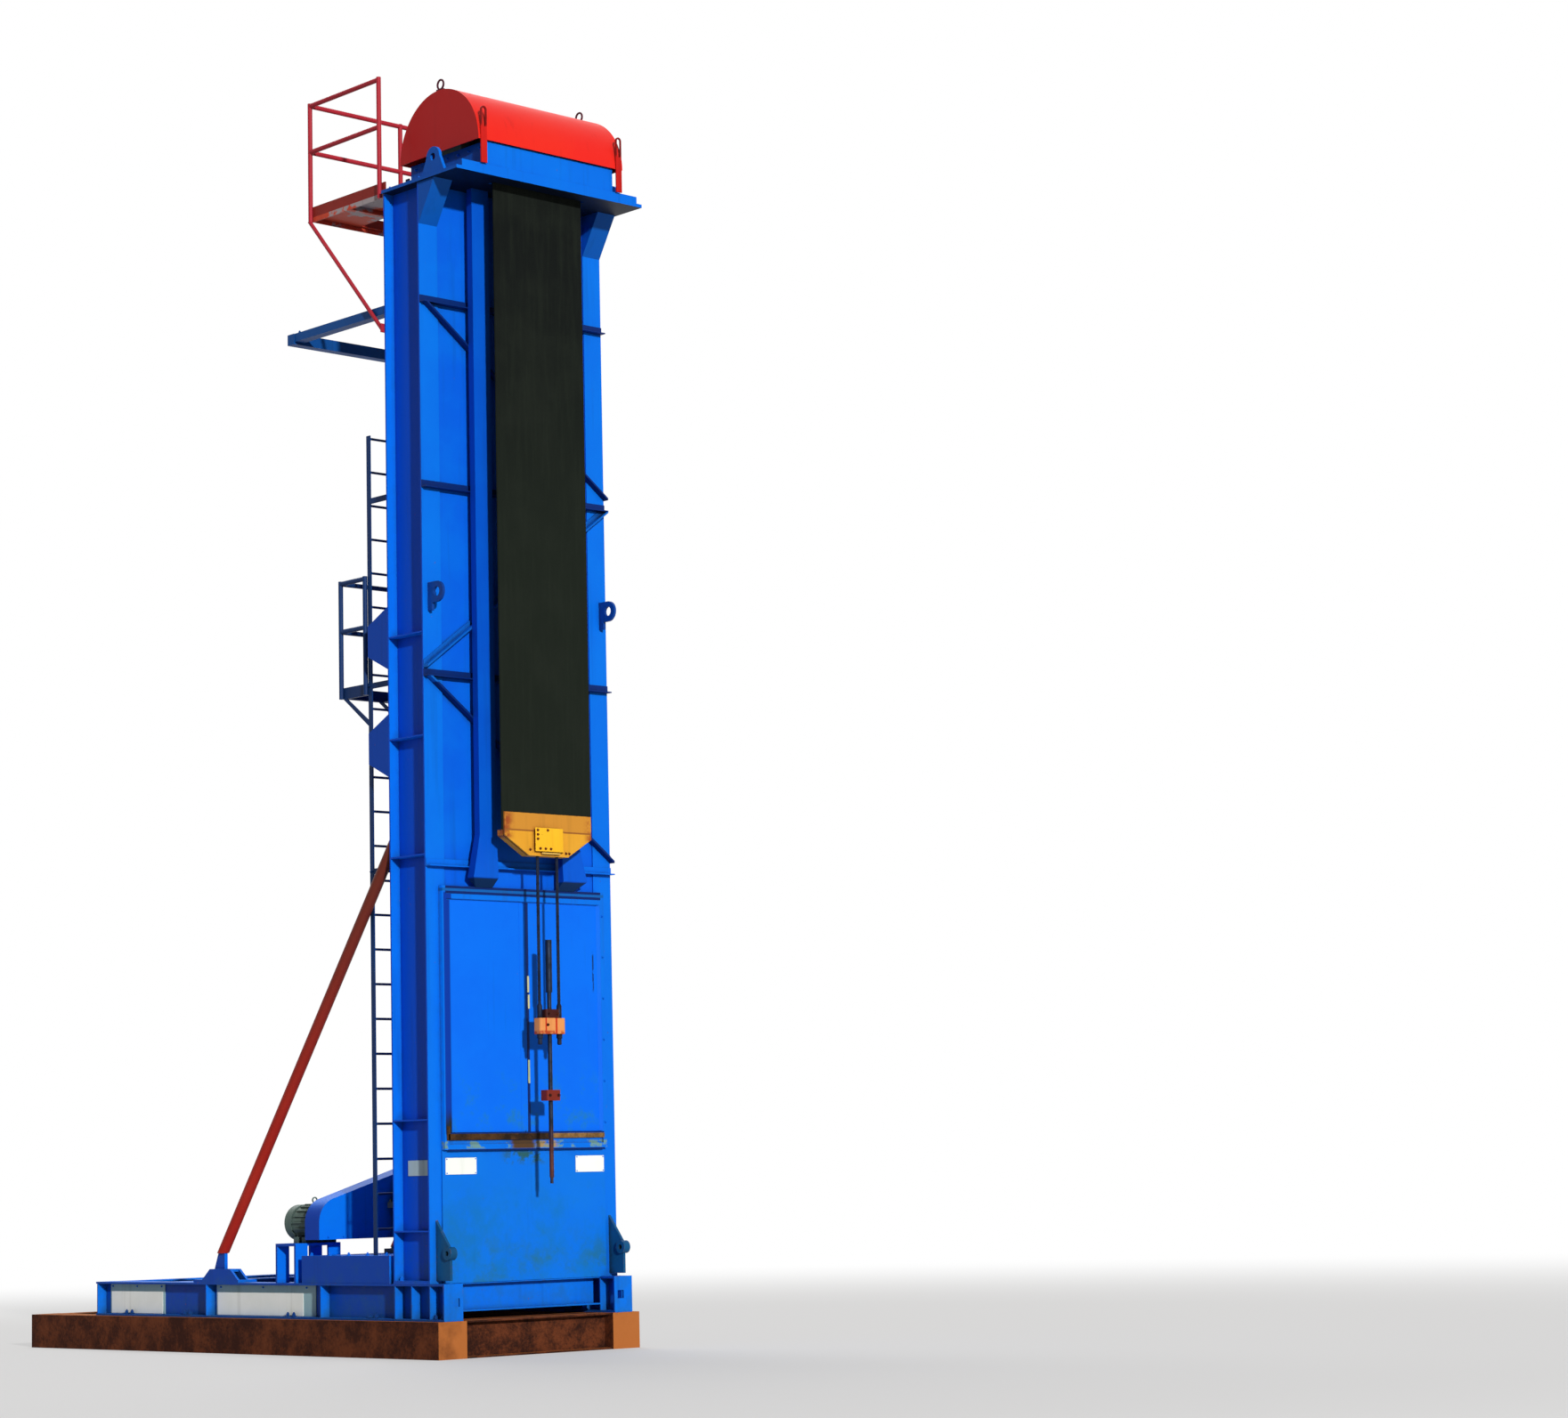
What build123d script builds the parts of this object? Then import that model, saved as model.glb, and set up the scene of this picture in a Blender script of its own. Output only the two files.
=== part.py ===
from build123d import *
import os

# Tower pumping unit: a long-stroke pump jack in which a wide belt runs over a drum on top of a
# steel tower, with the well on one end of the belt and a counterweight on the other.
# Millimetres, Z up, X across the front. The well side is the front and faces -Y. The origin is on
# the ground, on the centre line of the tower.

# Foundation frame, rusty box rails that lie on the ground
RAIL_OUTER_X = 1100
RAIL_WIDTH = 300
RAIL_HEIGHT = 310
RAIL_WALL = 14
RAIL_FRONT_Y = -450
RAIL_REAR_Y = 5850
TIE_WIDTH = 200
TIE_PLATE = 14
TIE_CENTRES_Y = (-330, 0, 1500, 3000, 4500, 5700)

# Skid, blue wide-flange beams that stand on the foundation frame
SKID_OUTER_X = 1030
SKID_FLANGE = 200
SKID_HEIGHT = 310
SKID_WEB = 12
SKID_FLANGE_THICK = 18
SKID_FRONT_Y = -440
SKID_REAR_Y = 4840
SKID_STIFFENERS_Y = (4810, 3030, 1290, 230, 0, -250)
SKID_TIE_HEIGHT = 240
SKID_TIES_Y = (-150, 150, 1690, 1980, 3700, 4700)
STIFFENER_THICK = 12
END_PLATE_THICK = 16
TOW_HOLE = 70

# Tower columns, welded wide-flange sections with the web on the side of the tower
COLUMN_OUTER_X = 1027
COLUMN_FLANGE = 200
COLUMN_DEPTH = 500
COLUMN_WEB = 12
COLUMN_FLANGE_THICK = 16
COLUMN_TOP_Z = 10080
COLUMN_STIFFENERS_Z = (6130, 5240, 4220, 1980, 1050)
BASE_PLATE_THICK = 25

# Bracing of the tower faces
STRUT_LEVELS_Z = (9016, 7387, 5748, 4123)
ANGLE_LEG = 65
ANGLE_THICK = 10
DIAGONAL_LIFT = 30
REAR_SEAT = 45
SHEET_THICK = 5
SHEET_BOTTOM_Z = 3960

# P-shaped lugs on the front flanges and hinge plates at the column feet
SIDE_LUG_X = 960
SIDE_LUG_Z = 6470
SIDE_LUG_PLATE = 24
SIDE_LUG_RING = 90
SIDE_LUG_HOLE = 42
SIDE_LUG_STEM = 60
SIDE_LUG_TAIL = 130
HINGE_X = 950
HINGE_PLATE = 24
HINGE_REACH = 190
HINGE_HEIGHT = 500
HINGE_PIN_Z = 250
HINGE_PIN_REACH = 175
HINGE_EYE = 55
HINGE_HOLE = 22
HINGE_BOSS = 70

# Guide rails in front of the bracing, with flared feet
GUIDE_INNER_X = 360
GUIDE_WIDTH = 185
GUIDE_DEPTH = 70
GUIDE_PLATE = 8
GUIDE_BOTTOM_Z = 3955
GUIDE_KNEE_Z = 4035
GUIDE_KINK_Z = 4400
GUIDE_KICK = 20
GUIDE_FLARE = 85

# Doors and panels of the lower front
DOOR_HALF_WIDTH = 850
DOOR_TOP_Z = 3850
DOOR_BOTTOM_Z = 1870
DOOR_GAP = 12
DOOR_THICK = 30
HEADER_TOP_Z = 3960
SILL_BOTTOM_Z = 1730
PANEL_THICK = 12
FRAME_BAR = 45
FRAME_PROUD = 55

# Top deck and drum
DECK_OVERHANG = 23
DECK_FRONT_Y = -820
DECK_THICK = 30
DECK_LIP = 60
DECK_LIP_THICK = 15
CONSOLE_REACH = 225
CONSOLE_DROP = 365
CONSOLE_PLATE = 12
EYE_Y = -460
EYE_BASE = 320
EYE_HEAD_RADIUS = 90
EYE_HOLE_RADIUS = 33
EYE_HOLE_HEIGHT = 150
EYE_PLATE = 30
DRUM_AXIS_Y = -280
DRUM_RADIUS = 333
DRUM_HALF_LENGTH = 540
DRUM_AXIS_Z = 10500
DRUM_SHELL = 20
DRUM_RECESS = 80
SHAFT_RADIUS = 60
BEARING_X = 640
BEARING_LENGTH = 110
BEARING_RADIUS = 130
BEARING_FOOT = 460
HOUSING_HALF_X = 720
HOUSING_HALF_Y = 525
HOUSING_TOP_Z = 10380
HOUSING_WALL = 10
HOOD_HALF_X = 816
HOOD_RADIUS = 555
HOOD_WALL = 8
LATCH_X = 765
REAR_LATCH_X = 480
LATCH_WIDTH = 64
LATCH_THICK = 12
LATCH_BAR = 14
LATCH_DROP = 210
LATCH_RISE = 110
LATCH_LOOP = 150
RING_X = 790
RING_RADIUS = 42
RING_BAR = 9
RING_FOOT = 16

# Belt, clamp, hanger ropes and carrier
BELT_HALF_WIDTH = 495
BELT_THICK = 14
BELT_SLOT_CLEARANCE = 25
CLAMP_TOP_Z = 4580
CLAMP_STRIP_Z = 4430
CLAMP_BOTTOM_Z = 4215
CLAMP_HALF_TOP = 480
CLAMP_HALF_BOTTOM = 215
CLAMP_PLATE = 18
CLAMP_SHOULDER = 50
CLAMP_JAW = 68
CLAMP_HEAD = 145
CLAMP_HEAD_DEPTH = 30
CLAMP_HEAD_RISE = 38
CLAMP_HEAD_HEIGHT = 190
ROPE_X = 107
ROPE_RADIUS = 14
FERRULE_RADIUS = 22
FERRULE_LENGTH = 120
SOCKET_RADIUS = 26
SOCKET_LENGTH = 90
CARRIER_TOP_Z = 2830
CARRIER_HEIGHT = 135
CARRIER_HALF_X = 140
CARRIER_HALF_Y = 50
CARRIER_FILLET = 22
ROD_RADIUS = 19
ROD_TOP_Z = 3500
ROD_BOTTOM_Z = 1430
ROD_LINER_LENGTH = 450
ROD_PIN_RADIUS = 14
ROD_PIN_LENGTH = 50
ROD_LINER_RADIUS = 28
ROD_CLAMP_WIDTH = 150
ROD_CLAMP_DEPTH = 100
ROD_CLAMP_FILLET = 20
UPPER_CLAMP_HEIGHT = 75
LOWER_CLAMP_Z = 2130
LOWER_CLAMP_HEIGHT = 90

# Counterweight inside the tower, near the top because the well side is down
WEIGHT_HALF_X = 640
WEIGHT_HALF_Y = 150
WEIGHT_BOTTOM_Z = 7250
WEIGHT_TOP_Z = 9150
WEIGHT_RIB = 60
WEIGHT_RECESS = 20
WEIGHT_LUG = 300
WEIGHT_LUG_HEIGHT = 120

# Platforms, ladders and rear frame
PLATFORM_OUTER_X = 1005
PLATFORM_REAR_Y = 1330
PLATFORM_DROP = 50
PLATFORM_TOE = 90
PLATFORM_BEAM = 50
PLATFORM_PLATE = 8
PLATFORM_WALL = 12
PLATFORM_BRACE_RADIUS = 18
PLATFORM_BRACE_TOP_X = 1025
PLATFORM_BRACE_FOOT_Z = 8857
PLATFORM_LUG = 60
HATCH_MARGIN = 40
RAILING_HEIGHT = 1050
KNEE_RAIL = 0.57
RAILING_RADIUS = 21
RAILING_START = 65
POST_STAND = 12
LADDER_Y = 655
LADDER_LEFT_X = -915
LADDER_WIDTH = 400
LADDER_RAIL = 50
LADDER_STILE = 12
RUNG_RADIUS = 11
RUNG_PITCH = 300
FIRST_RUNG_Z = 1075
LADDER_TOP_Z = 8000
UPPER_LADDER_LEFT_X = -450
LANDING_FLOOR_Z = 5700
LANDING_REAR_Y = 1045
LANDING_RIGHT_X = 0
LANDING_KNEE = 275
TOE_BOARD = 100
LANDING_STRIP = 30
REAR_FRAME_Y = 1598
REAR_FRAME_TOP_Z = 9085
REAR_FRAME_BEAM = 97
REAR_ARM_HEIGHT = 75
REAR_ARM_INSET = 10
REAR_BRACKETS_Z = (6138, 5200)
BRACKET_ROOT = 546
BRACKET_TIP = 270
BRACKET_REACH = 283
BRACKET_PLATE = 16

# Raking braces behind the tower
BRACE_RADIUS = 50
BRACE_X = 970
BRACE_TOP_Z = 4370
BRACE_FOOT_Y = 2850
BRACE_FOOT_Z = 880
FOOT_FRONT_Y = 2530
FOOT_REAR_Y = 3230
SOLE_THICK = 25
TABLE_Z = 740
TABLE_FRONT = 190
TABLE_REAR = 125
RIB_SPREAD = 120
RIB_THICK = 24
GUSSET_FRONT = 50
GUSSET_REAR = 110
GUSSET_THICK = 32

# Drive at the foot of the tower
MACHINE_BASE_X = 1020
MACHINE_BASE_FRONT_Y = 320
MACHINE_BASE_REAR_Y = 1580
MACHINE_BASE_HEIGHT = 235
MACHINE_BASE_WALL = 14
REDUCER_HALF_X = 430
REDUCER_FRONT_Y = 520
REDUCER_REAR_Y = 1440
REDUCER_CENTRE_X = 200
SHAFT_HEIGHT_Z = 1275
REDUCER_STEP = 60
REDUCER_FLANGE = 50
REDUCER_FOOT = 40
REDUCER_SIDE = 135
REDUCER_LID = 240
REDUCER_TOP_Z = 1660
REDUCER_SHAFT_GAP = 220
OUTPUT_BOSS = 150
INPUT_BOSS = 90
GUARD_FRONT_Y = 1450
GUARD_DEPTH = 210
GUARD_WALL = 5
GUARD_SHAFT_HOLE = 60
MOTOR_X = -710
MOTOR_Z = 1140
MOTOR_RADIUS = 165
MOTOR_LENGTH = 300
MOTOR_AXIS_HEIGHT = 178
MOTOR_FOOT = 60
FIN_COUNT = 18
FIN_HEIGHT = 20
FIN_THICK = 8
FAN_COVER = 90
TERMINAL_BOX = 150
STAND_PLATE = 24
STAND_LEG = 130
STAND_INSET = 20
SMALL_GUARD_RADIUS = 215
LARGE_GUARD_RADIUS = 350
GUARD_BOTTOM_Z = 990

# Heights and planes that follow from the sizes above
SKID_BOTTOM_Z = RAIL_HEIGHT
SKID_TOP_Z = SKID_BOTTOM_Z + SKID_HEIGHT
FRONT_Y = -COLUMN_DEPTH / 2
REAR_Y = COLUMN_DEPTH / 2
COLUMN_INNER_X = COLUMN_OUTER_X - COLUMN_FLANGE
COLUMN_WEB_X = COLUMN_OUTER_X - COLUMN_FLANGE / 2
BRACING_Y = FRONT_Y - ANGLE_LEG
DECK_TOP_Z = COLUMN_TOP_Z + DECK_THICK
DECK_HALF_X = COLUMN_OUTER_X + DECK_OVERHANG
BELT_RADIUS = DRUM_RADIUS + BELT_THICK / 2
BELT_FRONT_Y = DRUM_AXIS_Y - BELT_RADIUS
BELT_REAR_Y = DRUM_AXIS_Y + BELT_RADIUS
BELT_END_Z = WEIGHT_TOP_Z + WEIGHT_LUG_HEIGHT
MACHINE_BASE_TOP_Z = SKID_TOP_Z + MACHINE_BASE_HEIGHT
PLATFORM_FLOOR_Z = DECK_TOP_Z
PLATFORM_BOTTOM_Z = PLATFORM_FLOOR_Z - PLATFORM_DROP
PLATFORM_TOE_Z = PLATFORM_FLOOR_Z + PLATFORM_TOE


def block(x0, x1, y0, y1, z0, z1):
    """A rectangular block between two corners."""
    centre = Pos((x0 + x1) / 2, (y0 + y1) / 2, (z0 + z1) / 2)
    return centre * Box(x1 - x0, y1 - y0, z1 - z0)


def side_plate(points, x0, x1):
    """A plate with an outline in Y and Z, standing between two X planes."""
    outline = Plane.YZ.offset(x0) * Polygon(*points, align=None)
    return extrude(outline, x1 - x0, dir=(1, 0, 0))


def face_plate(points, y0, y1):
    """A plate with an outline in X and Z, standing between two Y planes."""
    outline = Plane.XZ.offset(-y1) * Polygon(*points, align=None)
    return extrude(outline, y1 - y0, dir=(0, -1, 0))


def rod(start, end, radius):
    """A round bar between two points."""
    path = Line(start, end)
    return extrude(Plane(origin=start, z_dir=path % 0) * Circle(radius), path.length)


def mirrored(shape):
    """The same shape on the other side of the tower."""
    return mirror(shape, Plane.YZ)


def save(node, *solids):
    """Write one node, which holds one solid or several that do not touch."""
    shape = solids[0] if len(solids) == 1 else Compound(children=list(solids))
    export_step(shape, f"parts/{node}.step")


def save_pair(node, *left_solids):
    """Write the left pieces and their mirror images as one node."""
    save(node, *left_solids, *[mirrored(solid) for solid in left_solids])


def wide_flange(length, height, flange, web, thick):
    """A wide-flange beam along +X from the origin, standing on Z = 0 and centred on Y = 0."""
    half = flange / 2
    return (block(0, length, -half, half, 0, thick)
            + block(0, length, -half, half, height - thick, height)
            + block(0, length, -web / 2, web / 2, thick, height - thick))


def foundation_rail():
    """Left rail: a box section, closed in front and open at the rear."""
    inner_x = RAIL_OUTER_X - RAIL_WIDTH
    box = block(-RAIL_OUTER_X, -inner_x, RAIL_FRONT_Y, RAIL_REAR_Y, 0, RAIL_HEIGHT)
    hollow = block(-RAIL_OUTER_X + RAIL_WALL, -inner_x - RAIL_WALL, RAIL_FRONT_Y + RAIL_WALL,
                   RAIL_REAR_Y, RAIL_WALL, RAIL_HEIGHT - RAIL_WALL)
    return box - hollow


def foundation_ties():
    """Wide-flange ties that butt between the two rails."""
    reach = 2 * (RAIL_OUTER_X - RAIL_WIDTH)
    tie = wide_flange(reach, RAIL_HEIGHT, TIE_WIDTH, TIE_PLATE, TIE_PLATE)
    return [Pos(-reach / 2, y, 0) * tie for y in TIE_CENTRES_Y]


def skid_beam():
    """Left skid beam with stiffeners in its outer recess, an end plate in front with a tow hole."""
    inner_x = SKID_OUTER_X - SKID_FLANGE
    web_x = SKID_OUTER_X - SKID_FLANGE / 2
    length = SKID_REAR_Y - SKID_FRONT_Y - END_PLATE_THICK
    beam = wide_flange(length, SKID_HEIGHT, SKID_FLANGE, SKID_WEB, SKID_FLANGE_THICK)
    beam = Pos(-web_x, SKID_FRONT_Y + END_PLATE_THICK, SKID_BOTTOM_Z) * Rot(0, 0, 90) * beam
    web_bottom = SKID_BOTTOM_Z + SKID_FLANGE_THICK
    web_top = SKID_TOP_Z - SKID_FLANGE_THICK
    for y in SKID_STIFFENERS_Y:
        beam += block(-SKID_OUTER_X, -inner_x, y, y + STIFFENER_THICK, web_bottom, web_top)
    end = block(-SKID_OUTER_X, -inner_x, SKID_FRONT_Y, SKID_FRONT_Y + END_PLATE_THICK,
                SKID_BOTTOM_Z, SKID_TOP_Z)
    hole_x = -inner_x - TOW_HOLE
    hole_z = SKID_TOP_Z - SKID_HEIGHT / 2
    hole = block(hole_x - TOW_HOLE / 2, hole_x + TOW_HOLE / 2, SKID_FRONT_Y,
                 SKID_FRONT_Y + END_PLATE_THICK, hole_z - TOW_HOLE / 2, hole_z + TOW_HOLE / 2)
    return beam + end - hole


def skid_ties():
    """Wide-flange ties between the skid beams, flush with their tops."""
    reach = 2 * (SKID_OUTER_X - SKID_FLANGE)
    tie = wide_flange(reach, SKID_TIE_HEIGHT, SKID_FLANGE, SKID_WEB, SKID_WEB)
    return [Pos(-reach / 2, y, SKID_TOP_Z - SKID_TIE_HEIGHT) * tie for y in SKID_TIES_Y]


def column():
    """Left column: web on the side of the tower, stiffeners in the outer recess, a base plate."""
    bottom = SKID_TOP_Z + BASE_PLATE_THICK
    web_x = -COLUMN_WEB_X
    flanges = [block(-COLUMN_OUTER_X, -COLUMN_INNER_X, y, y + COLUMN_FLANGE_THICK, bottom,
                     COLUMN_TOP_Z) for y in (FRONT_Y, REAR_Y - COLUMN_FLANGE_THICK)]
    web = block(web_x - COLUMN_WEB / 2, web_x + COLUMN_WEB / 2, FRONT_Y + COLUMN_FLANGE_THICK,
                REAR_Y - COLUMN_FLANGE_THICK, bottom, COLUMN_TOP_Z)
    post = flanges[0] + flanges[1] + web
    post += block(-SKID_OUTER_X, -COLUMN_INNER_X, FRONT_Y, REAR_Y, SKID_TOP_Z, bottom)
    for z in COLUMN_STIFFENERS_Z:
        post += block(-COLUMN_OUTER_X, web_x, FRONT_Y + COLUMN_FLANGE_THICK,
                      REAR_Y - COLUMN_FLANGE_THICK, z, z + STIFFENER_THICK)
    return post


def angle_strut(y_wall, outward, reach, z):
    """A level angle bar across a tower face; outward is -1 on the front and +1 on the rear."""
    tip = y_wall + outward * ANGLE_LEG
    heel = y_wall + outward * ANGLE_THICK
    flat = block(-reach, reach, min(y_wall, tip), max(y_wall, tip), z, z + ANGLE_THICK)
    upright = block(-reach, reach, min(y_wall, heel), max(y_wall, heel),
                    z + ANGLE_THICK, z + ANGLE_LEG)
    return flat + upright


def angle_diagonal(y_wall, outward, reach, top_z, bottom_z, down_to_right):
    """A sloping angle bar between two struts, with its outstanding leg along its lower edge."""
    tip = y_wall + outward * ANGLE_LEG
    heel = y_wall + outward * ANGLE_THICK
    sign = 1 if down_to_right else -1
    lift = DIAGONAL_LIFT if down_to_right else 0
    high, low = top_z - ANGLE_THICK + lift, bottom_z + ANGLE_LEG + ANGLE_THICK + lift

    def band(width):
        return [(-sign * reach, high + width), (sign * reach, low + width),
                (sign * reach, low), (-sign * reach, high)]

    bar = face_plate(band(2 * ANGLE_THICK), min(y_wall, tip), max(y_wall, tip))
    bar += face_plate(band(ANGLE_LEG), min(y_wall, heel), max(y_wall, heel))
    over = ANGLE_LEG + lift
    return bar - block(-reach, reach, y_wall - over, y_wall + over, top_z, top_z + 2 * over)


def tower_bracing(y_wall, outward, reach, first_down_to_right):
    """The level struts and the zigzag of diagonals between them."""
    struts = [angle_strut(y_wall, outward, reach, z) for z in STRUT_LEVELS_Z]
    pairs = zip(STRUT_LEVELS_Z[:-1], STRUT_LEVELS_Z[1:])
    diagonals = [angle_diagonal(y_wall, outward, reach, top, low,
                                (i % 2 == 0) == first_down_to_right)
                 for i, (top, low) in enumerate(pairs)]
    return struts, diagonals


def guide_rail():
    """Left guide rail: a shallow channel on the bracing whose foot flares and turns back."""
    face, low, knee = BRACING_Y - GUIDE_DEPTH, GUIDE_BOTTOM_Z, GUIDE_KNEE_Z
    x0, x1 = -GUIDE_INNER_X - GUIDE_WIDTH, -GUIDE_INNER_X

    def channel(wall):
        kicked = face - GUIDE_KICK + wall
        side = side_plate([(BRACING_Y, COLUMN_TOP_Z), (face + wall, COLUMN_TOP_Z),
                           (face + wall, GUIDE_KINK_Z), (kicked, knee),
                           (BRACING_Y, low + 2 * wall)], x0 - GUIDE_FLARE, x1)
        front = face_plate([(x0 + wall, COLUMN_TOP_Z), (x1 - wall, COLUMN_TOP_Z),
                            (x1 - wall, low), (x0 + wall, low),
                            (x0 - GUIDE_FLARE + wall, knee), (x0 + wall, GUIDE_KINK_Z)],
                           kicked, BRACING_Y)
        return side & front
    return channel(0) - channel(GUIDE_PLATE)


def door_frame():
    """Raised frame round the two door leaves, with a header and a sill strip."""
    y0, y1 = FRONT_Y - FRAME_PROUD, FRONT_Y
    outer = DOOR_HALF_WIDTH + FRAME_BAR
    frame = block(-outer, outer, y0, y1, SILL_BOTTOM_Z, HEADER_TOP_Z)
    frame -= block(-DOOR_HALF_WIDTH, DOOR_HALF_WIDTH, y0, y1, DOOR_BOTTOM_Z, DOOR_TOP_Z)
    step = FRAME_BAR / 3
    for low, high in ((SILL_BOTTOM_Z + FRAME_BAR, DOOR_BOTTOM_Z - FRAME_BAR),
                      (DOOR_TOP_Z + FRAME_BAR, HEADER_TOP_Z - FRAME_BAR)):
        frame -= block(-outer + FRAME_BAR, outer - FRAME_BAR, y0, y0 + step, low, high)
    return frame


def door_leaf():
    """Left door leaf: a sheet with folded edges, set in the frame."""
    gap = DOOR_GAP / 2
    x0, x1 = -DOOR_HALF_WIDTH + gap, -gap
    z0, z1 = DOOR_BOTTOM_Z + gap, DOOR_TOP_Z - gap
    y0 = FRONT_Y - DOOR_THICK
    leaf = block(x0, x1, y0, FRONT_Y, z0, z1)
    pan = block(x0 + PANEL_THICK, x1 - PANEL_THICK, y0 + PANEL_THICK / 2, FRONT_Y,
                z0 + PANEL_THICK, z1 - PANEL_THICK)
    return leaf - pan


def deck_plate():
    """Top deck with two slots for the belt and a lip along the front edge."""
    deck = block(-DECK_HALF_X, DECK_HALF_X, DECK_FRONT_Y, REAR_Y, COLUMN_TOP_Z, DECK_TOP_Z)
    half = BELT_HALF_WIDTH + BELT_SLOT_CLEARANCE
    for y in (BELT_FRONT_Y, BELT_REAR_Y):
        reach = BELT_THICK / 2 + BELT_SLOT_CLEARANCE
        deck -= block(-half, half, y - reach, y + reach, COLUMN_TOP_Z, DECK_TOP_Z)
    lip = block(-DECK_HALF_X + DECK_LIP, DECK_HALF_X - DECK_LIP, DECK_FRONT_Y,
                DECK_FRONT_Y + DECK_LIP_THICK, DECK_TOP_Z, DECK_TOP_Z + DECK_LIP)
    return deck + lip


def deck_console():
    """Left console under the overhanging deck: a hollow wedge with a sloping front plate."""
    top, low = COLUMN_TOP_Z, COLUMN_TOP_Z - CONSOLE_DROP
    wedge = side_plate([(FRONT_Y, top), (FRONT_Y - CONSOLE_REACH, top), (FRONT_Y, low)],
                       -COLUMN_OUTER_X, -COLUMN_INNER_X)
    scale_down = CONSOLE_PLATE / CONSOLE_REACH
    inner_reach = CONSOLE_REACH - 2 * CONSOLE_PLATE
    inner_low = low + 2 * scale_down * CONSOLE_DROP
    inner = side_plate([(FRONT_Y, top), (FRONT_Y - inner_reach, top), (FRONT_Y, inner_low)],
                       -COLUMN_OUTER_X + CONSOLE_PLATE, -COLUMN_INNER_X - CONSOLE_PLATE)
    return wedge - inner


def lifting_eye():
    """Left lifting eye on the edge of the deck: a round-headed plate with a hole."""
    hole_z = DECK_TOP_Z + EYE_HOLE_HEIGHT
    half, head = EYE_BASE / 2, EYE_HEAD_RADIUS
    outline = Polygon((-half, DECK_TOP_Z), (half, DECK_TOP_Z), (head, hole_z), (-head, hole_z),
                      align=None)
    outline += Pos(0, hole_z) * Circle(head)
    outline -= Pos(0, hole_z) * Circle(EYE_HOLE_RADIUS)
    plane = Plane.YZ.offset(-COLUMN_OUTER_X)
    return Pos(0, EYE_Y, 0) * extrude(plane * outline, EYE_PLATE, dir=(1, 0, 0))


def housing_walls():
    """The long walls in front and behind and the end walls, which stand on the deck."""
    y0, y1 = DRUM_AXIS_Y - HOUSING_HALF_Y, DRUM_AXIS_Y + HOUSING_HALF_Y
    half, wall = HOUSING_HALF_X, HOUSING_WALL
    long_walls = [block(-half, half, y, y + wall, DECK_TOP_Z, HOUSING_TOP_Z)
                  for y in (y0, y1 - wall)]
    end_walls = [block(x, x + wall, y0 + wall, y1 - wall, DECK_TOP_Z, HOUSING_TOP_Z)
                 for x in (-half, half - wall)]
    return long_walls, end_walls


def hood():
    """Half-round hood over the drum, closed at both ends and open below."""
    length = 2 * HOOD_HALF_X
    turn = Pos(-HOOD_HALF_X, DRUM_AXIS_Y, HOUSING_TOP_Z) * Rot(0, 90, 0)
    outer = turn * Cylinder(HOOD_RADIUS, length, align=(Align.CENTER, Align.CENTER, Align.MIN))
    inner = turn * Pos(0, 0, HOOD_WALL) * Cylinder(
        HOOD_RADIUS - HOOD_WALL, length - 2 * HOOD_WALL,
        align=(Align.CENTER, Align.CENTER, Align.MIN))
    below = block(-HOOD_HALF_X, HOOD_HALF_X, DRUM_AXIS_Y - HOOD_RADIUS, DRUM_AXIS_Y + HOOD_RADIUS,
                  HOUSING_TOP_Z - HOOD_RADIUS, HOUSING_TOP_Z)
    return outer - inner - below


def hood_latches():
    """Four straps that hang over the lower edge of the hood, each with a loop handle on top."""
    half, bar = LATCH_WIDTH / 2, LATCH_BAR
    bottom, loop_z = HOUSING_TOP_Z - LATCH_DROP, HOUSING_TOP_Z + LATCH_RISE
    loop = Rectangle(2 * half, LATCH_LOOP, align=(Align.CENTER, Align.MIN))
    loop += Pos(0, LATCH_LOOP) * Circle(half)
    loop -= Rectangle(2 * (half - bar), LATCH_LOOP, align=(Align.CENTER, Align.MIN))
    loop -= Pos(0, LATCH_LOOP) * Circle(half - bar)
    latches = []
    for x, face in ((-LATCH_X, -1), (LATCH_X, -1), (-REAR_LATCH_X, 1), (REAR_LATCH_X, 1)):
        y = DRUM_AXIS_Y + face * HOOD_RADIUS
        strap = block(x - half, x + half, min(y, y + face * LATCH_THICK),
                      max(y, y + face * LATCH_THICK), bottom, loop_z)
        handle = extrude(Plane.XZ.offset(-y) * Pos(x, loop_z) * loop, LATCH_THICK,
                         dir=(0, face, 0))
        latches.append(strap + handle)
    return latches


def hood_ring():
    """Left ring on the crown of the hood, by which the hood is lifted off."""
    crown = HOUSING_TOP_Z + HOOD_RADIUS
    ring = Pos(-RING_X, DRUM_AXIS_Y, crown + RING_FOOT + RING_RADIUS) * Rot(0, 90, 0)
    foot = block(-RING_X - RING_FOOT, -RING_X + RING_FOOT, DRUM_AXIS_Y - RING_RADIUS,
                 DRUM_AXIS_Y + RING_RADIUS, crown, crown + RING_FOOT)
    return ring * Torus(RING_RADIUS, RING_BAR) + foot


def drum():
    """Belt drum: a shell with two end discs on a through shaft."""
    turn = Pos(0, DRUM_AXIS_Y, DRUM_AXIS_Z) * Rot(0, 90, 0)
    half = DRUM_HALF_LENGTH
    shell = turn * Cylinder(DRUM_RADIUS, 2 * half)
    for end in (-half, half):
        shell -= turn * Pos(0, 0, end) * Cylinder(DRUM_RADIUS - DRUM_SHELL, 2 * DRUM_RECESS)
    shaft = turn * Cylinder(SHAFT_RADIUS, 2 * BEARING_X + BEARING_LENGTH)
    return shell + shaft


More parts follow.
